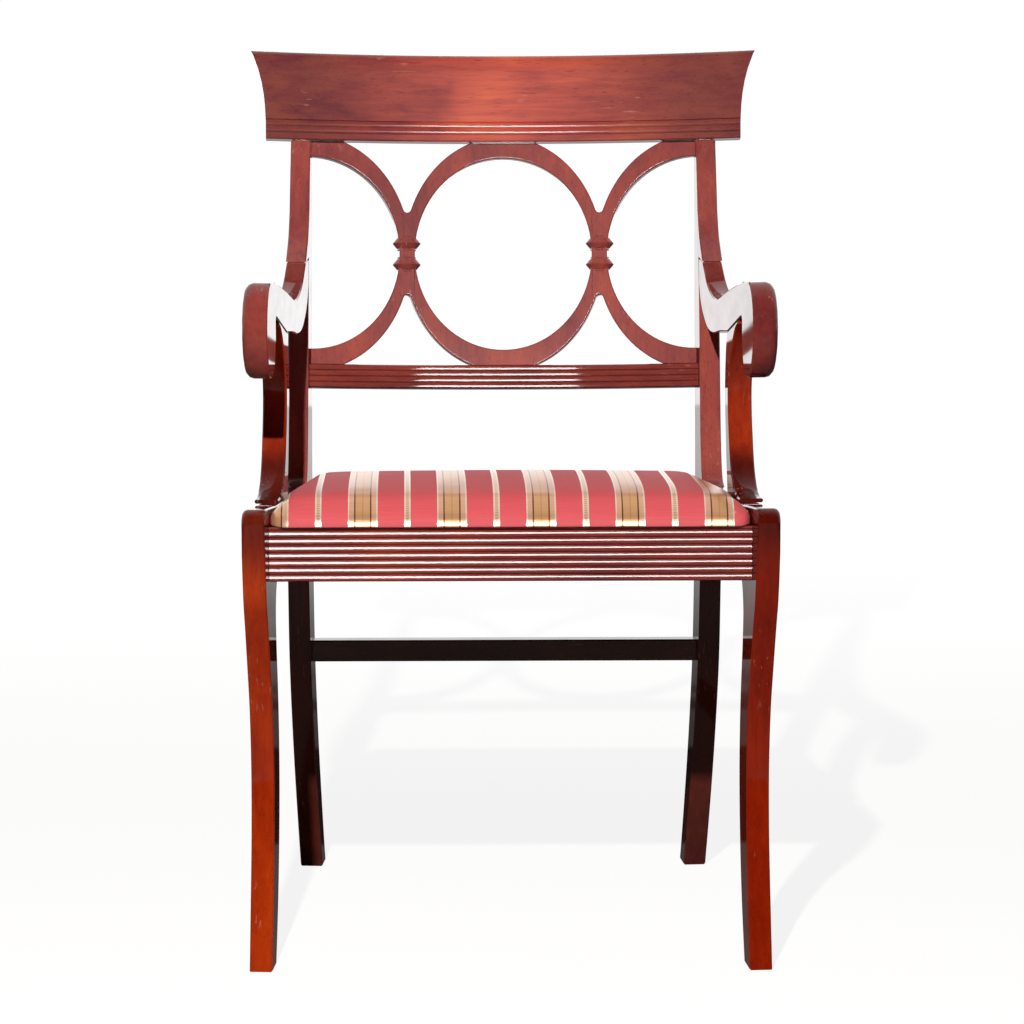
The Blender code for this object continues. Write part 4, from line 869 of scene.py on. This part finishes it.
def dust_sheet():
    """Black cambric pulled flat under the seat frame, sagging a little in its opening."""
    up = seat_up()
    bm = bmesh.new()
    bm.from_mesh(NODES["seat_dust_cover"].data)
    bmesh.ops.remove_doubles(bm, verts=bm.verts, dist=WELD)
    spare = [face for face in bm.faces if face.normal.dot(up) > -0.5]
    bmesh.ops.delete(bm, geom=spare, context="FACES")
    bmesh.ops.dissolve_limit(bm, angle_limit=FLAT_ANGLE, verts=bm.verts, edges=bm.edges)
    area = sum(face.calc_area() for face in bm.faces)
    low = [min(vert.co[axis] for vert in bm.verts) for axis in range(2)]
    high = [max(vert.co[axis] for vert in bm.verts) for axis in range(2)]
    for axis, way in ((0, Vector((1.0, 0.0, 0.0))), (1, Vector((0.0, 1.0, 0.0)))):
        for cut in range(1, int((high[axis] - low[axis]) / DUST_CELL) + 1):
            place = way * (low[axis] + cut * DUST_CELL)
            bmesh.ops.bisect_plane(bm, geom=whole(bm), dist=SNAP, plane_co=place, plane_no=way)
    for vert in bm.verts:
        vert.co -= up * DUST_SAG * opening_share(vert.co, low, high)
    sheet = add_sheet("cambric_dust_cover", bm, cambric, "seat")
    thicken(sheet, DUST_THICK)
    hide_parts("seat_dust_cover")


seat_cushion()
dust_sheet()
for node_name in [name for name in NODES if name.startswith("seat_webbing")]:
    webbing_strip(node_name)


def arc(centre, radii, start, end, count):
    """Points along an ellipse from one turn to another."""
    turns = [start + (end - start) * step / count for step in range(count + 1)]
    return [(centre[0] + radii[0] * math.cos(turn), centre[1] + radii[1] * math.sin(turn))
            for turn in turns]


def crotch_turn(pitch):
    """Where on the outer oval the fillet between two ovals starts, found by halving."""
    low, high = 0.0, math.pi / 2
    for _ in range(50):
        turn = (low + high) / 2
        normal = Vector((math.cos(turn) / FRET_OUTER[0], math.sin(turn) / FRET_OUTER[1])).normalized()
        if FRET_OUTER[0] * math.cos(turn) + CROTCH_RADIUS * normal.x > pitch:
            low = turn
        else:
            high = turn
    return turn, normal


def fret_outline():
    """Right half of the fret: half an oval at the middle and half an oval at the post, as (across, up)."""
    pitch = FRET_HALF / 2
    half = FRET_HEIGHT / 2
    inner = (pitch - FRET_NECK / 2, half - FRET_RING)
    turn, normal = crotch_turn(pitch)
    shoulder = arc((0, 0), FRET_OUTER, math.asin(half / FRET_OUTER[1]), turn, 14)
    swing = math.atan2(-normal.y, -normal.x)
    centre = (pitch, shoulder[-1][1] + CROTCH_RADIUS * normal.y)
    fillet = arc(centre, (CROTCH_RADIUS, CROTCH_RADIUS), swing, -math.pi - swing, 8)
    far = [(2 * pitch - u, v) for u, v in reversed(shoulder)]
    end = 2 * pitch + FRET_TUCK
    upper = [(0.0, half)] + shoulder + fillet[1:-1] + far + [(end, half), (end, inner[1])]
    lower = [(u, -v) for u, v in reversed(upper)]
    far_oval = arc((2 * pitch, 0), inner, math.pi / 2, 1.5 * math.pi, 44)
    near_oval = arc((0, 0), inner, -math.pi / 2, math.pi / 2, 44)
    return upper + far_oval + lower + near_oval


def bow(u, v, w):
    """A point of the flat fret on the bow of the back."""
    turn = u / BACK_RADIUS
    reach = BACK_RADIUS + w
    return Vector((reach * math.sin(turn), reach * math.cos(turn) - BACK_RADIUS, v))


def is_free_rim(edge):
    """An edge round the fret's faces, away from the rails, the posts and the middle."""
    if not edge.is_manifold or edge.calc_face_angle() < BEND_ANGLE:
        return False
    first, second = (vert.co for vert in edge.verts)
    if abs(first.y - second.y) > SNAP:
        return False
    held = [abs(place.z) > FRET_HEIGHT / 2 - RIM_NEAR for place in (first, second)]
    ends = [place.x < RIM_NEAR or place.x > FRET_HALF + 0.8 * FRET_TUCK for place in (first, second)]
    return not all(held) and not all(ends)


def fret_plate():
    """The flat fret with eased edges, mirrored about the middle of the back."""
    bm = bmesh.new()
    bm.faces.new([bm.verts.new((u, 0.0, v)) for u, v in fret_outline()])
    bmesh.ops.remove_doubles(bm, verts=bm.verts, dist=WELD)
    for cut in range(1, int(FRET_HALF / FRET_CELL) + 1):
        place = (cut * FRET_CELL, 0.0, 0.0)
        bmesh.ops.bisect_plane(bm, geom=whole(bm), dist=WELD, plane_co=place, plane_no=(1.0, 0.0, 0.0))
    added = bmesh.ops.extrude_face_region(bm, geom=list(bm.faces))["geom"]
    bmesh.ops.translate(bm, verts=points_of(added), vec=(0.0, FRET_THICK, 0.0))
    bmesh.ops.recalc_face_normals(bm, faces=bm.faces)
    rims = [edge for edge in bm.edges if is_free_rim(edge)]
    bmesh.ops.bevel(bm, geom=rims, offset=FRET_EASE, segments=3, profile=0.5, affect="EDGES", material=-1)
    seam = [face for face in bm.faces if all(vert.co.x < RIM_NEAR for vert in face.verts)]
    bmesh.ops.delete(bm, geom=seam, context="FACES_ONLY")
    bmesh.ops.mirror(bm, geom=whole(bm), matrix=Matrix(), merge_dist=RIM_NEAR, axis="X")
    bmesh.ops.recalc_face_normals(bm, faces=bm.faces)
    return bm


def add_bead(bm, u, v):
    """A flattened turned bead of a collar."""
    profile = [bm.verts.new((BEAD_RADIUS * share, 0.0, BEAD_HEIGHT * up)) for share, up in BEAD_PROFILE]
    edges = [bm.edges.new(pair) for pair in zip(profile, profile[1:])]
    before = set(bm.verts) - set(profile)
    bmesh.ops.spin(bm, geom=profile + edges, cent=(0.0, 0.0, 0.0), axis=(0.0, 0.0, 1.0), angle=2 * math.pi,
                   steps=BEAD_STEPS, use_merge=True)
    added = [vert for vert in bm.verts if vert not in before]
    bmesh.ops.scale(bm, verts=added, vec=(1.0, BEAD_FLATNESS, 1.0))
    place = Matrix.Translation(bow(u, v, FRET_SETBACK + FRET_THICK / 2))
    turn = Matrix.Rotation(-u / BACK_RADIUS, 4, "Z")
    bmesh.ops.transform(bm, matrix=place @ turn, verts=added)


def oval_fret():
    """The oval fret of the back as one carved piece with its double-bead collars."""
    bm = fret_plate()
    for vert in bm.verts:
        vert.co = bow(vert.co.x, FRET_MIDDLE + vert.co.z, FRET_SETBACK + vert.co.y)
    for side in (-1, 1):
        for step in (-0.5, 0.5):
            add_bead(bm, side * FRET_HALF / 2, FRET_MIDDLE + step * BEAD_SPACING)
    bmesh.ops.recalc_face_normals(bm, faces=bm.faces)
    bmesh.ops.transform(bm, matrix=BACK_PLACE, verts=bm.verts)
    for face in bm.faces:
        face.smooth = True
    fret = add_piece("oval_fret", bm, mahogany_fret)
    crisp(fret, FRET_CRISP_ANGLE)
    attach(fret, "frame")
    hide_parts("left_back_splat", "right_back_splat")


oval_fret()


def seen_directly(tree):
    """The rays that show the surroundings: those to the camera, and those in gloss or through glass."""
    path = new_node(tree, "ShaderNodeLightPath")
    mirrored = math_node(tree, "MAXIMUM", path.outputs["Is Glossy Ray"],
                         path.outputs["Is Transmission Ray"])
    return path.outputs["Is Camera Ray"], mirrored


def pale_floor():
    """White floor that keeps the chair's shadow; it mirrors brighter towards the back of the room."""
    bm = bmesh.new()
    bmesh.ops.create_grid(bm, x_segments=1, y_segments=1, size=FLOOR_SIZE)
    bmesh.ops.translate(bm, verts=bm.verts, vec=(0.0, 0.0, FLOOR_DROP))
    material = new_material("pale_floor")
    floor = add_piece("pale_floor", bm, material)
    tree = material.node_tree
    shader = shader_of(material)
    shader.inputs["Base Color"].default_value = FLOOR_COLOUR
    shader.inputs["Roughness"].default_value = 1.0
    shader.inputs["Specular IOR Level"].default_value = 0.0
    shader.inputs["Emission Color"].default_value = WHITE
    coords = new_node(tree, "ShaderNodeTexCoord")
    split = new_node(tree, "ShaderNodeSeparateXYZ")
    link(tree, coords.outputs["Object"], split.inputs[0])
    direct, mirrored = seen_directly(tree)
    far = rising(tree, split.outputs["Y"], *FLOOR_MIRRORED)
    shown = rising(tree, split.outputs["Y"], *FLOOR_SHOWN)
    glow = math_node(tree, "MAXIMUM", math_node(tree, "MULTIPLY", direct, shown),
                     math_node(tree, "MULTIPLY", mirrored, far))
    link(tree, glow, shader.inputs["Emission Strength"])


def white_room():
    """Surroundings: white to look at, bright behind the chair, and dim above and in front of it."""
    world = bpy.data.worlds.new("white_room")
    bpy.context.scene.world = world
    world.use_nodes = True
    tree = world.node_tree
    background = tree.nodes["Background"]
    background.inputs["Color"].default_value = WHITE
    coords = new_node(tree, "ShaderNodeTexCoord")
    split = new_node(tree, "ShaderNodeSeparateXYZ")
    link(tree, coords.outputs["Generated"], split.inputs[0])
    direct, mirrored = seen_directly(tree)
    low = rising(tree, split.outputs["Z"], *ROOM_FILL_HEIGHT)
    level = math_node(tree, "MULTIPLY", low, rising(tree, split.outputs["Y"], *ROOM_FILL))
    fill = math_node(tree, "MULTIPLY", math_node(tree, "SUBTRACT", 1.0, mirrored), level)
    gleam = math_node(tree, "MULTIPLY", mirrored, rising(tree, split.outputs["Y"], *ROOM_GLEAM))
    strength = math_node(tree, "MAXIMUM", math_node(tree, "MAXIMUM", fill, gleam), direct)
    link(tree, strength, background.inputs["Strength"])


def soft_light(name, place, aim, size, power):
    """A rectangular soft light that faces a point."""
    light = bpy.data.lights.new(name, "AREA")
    light.shape = "RECTANGLE"
    light.size, light.size_y = size
    light.energy = power
    lamp = bpy.data.objects.new(name, light)
    bpy.context.scene.collection.objects.link(lamp)
    lamp.visible_camera = False
    lamp.location = place
    lamp.rotation_euler = (Vector(aim) - Vector(place)).to_track_quat("-Z", "Y").to_euler()
    return lamp


def camera():
    """The camera of the picture."""
    data = bpy.data.cameras.new("picture_camera")
    data.lens = CAMERA_FOCAL
    data.sensor_width = CAMERA_SENSOR
    data.clip_end = CAMERA_REACH
    lens = bpy.data.objects.new("picture_camera", data)
    bpy.context.scene.collection.objects.link(lens)
    lens.location = CAMERA_PLACE
    lens.rotation_euler = CAMERA_TURN
    bpy.context.scene.camera = lens


pale_floor()
white_room()
high_box = soft_light("high_softbox", *HIGH_BOX)
high_box.visible_glossy = False
gleam_box = soft_light("gleam_softbox", *GLEAM_BOX)
gleam_box.visible_diffuse = False
back_box = soft_light("back_softbox", *BACK_BOX)
back_box.visible_diffuse = False
camera()
bpy.context.scene.view_settings.view_transform = "Standard"
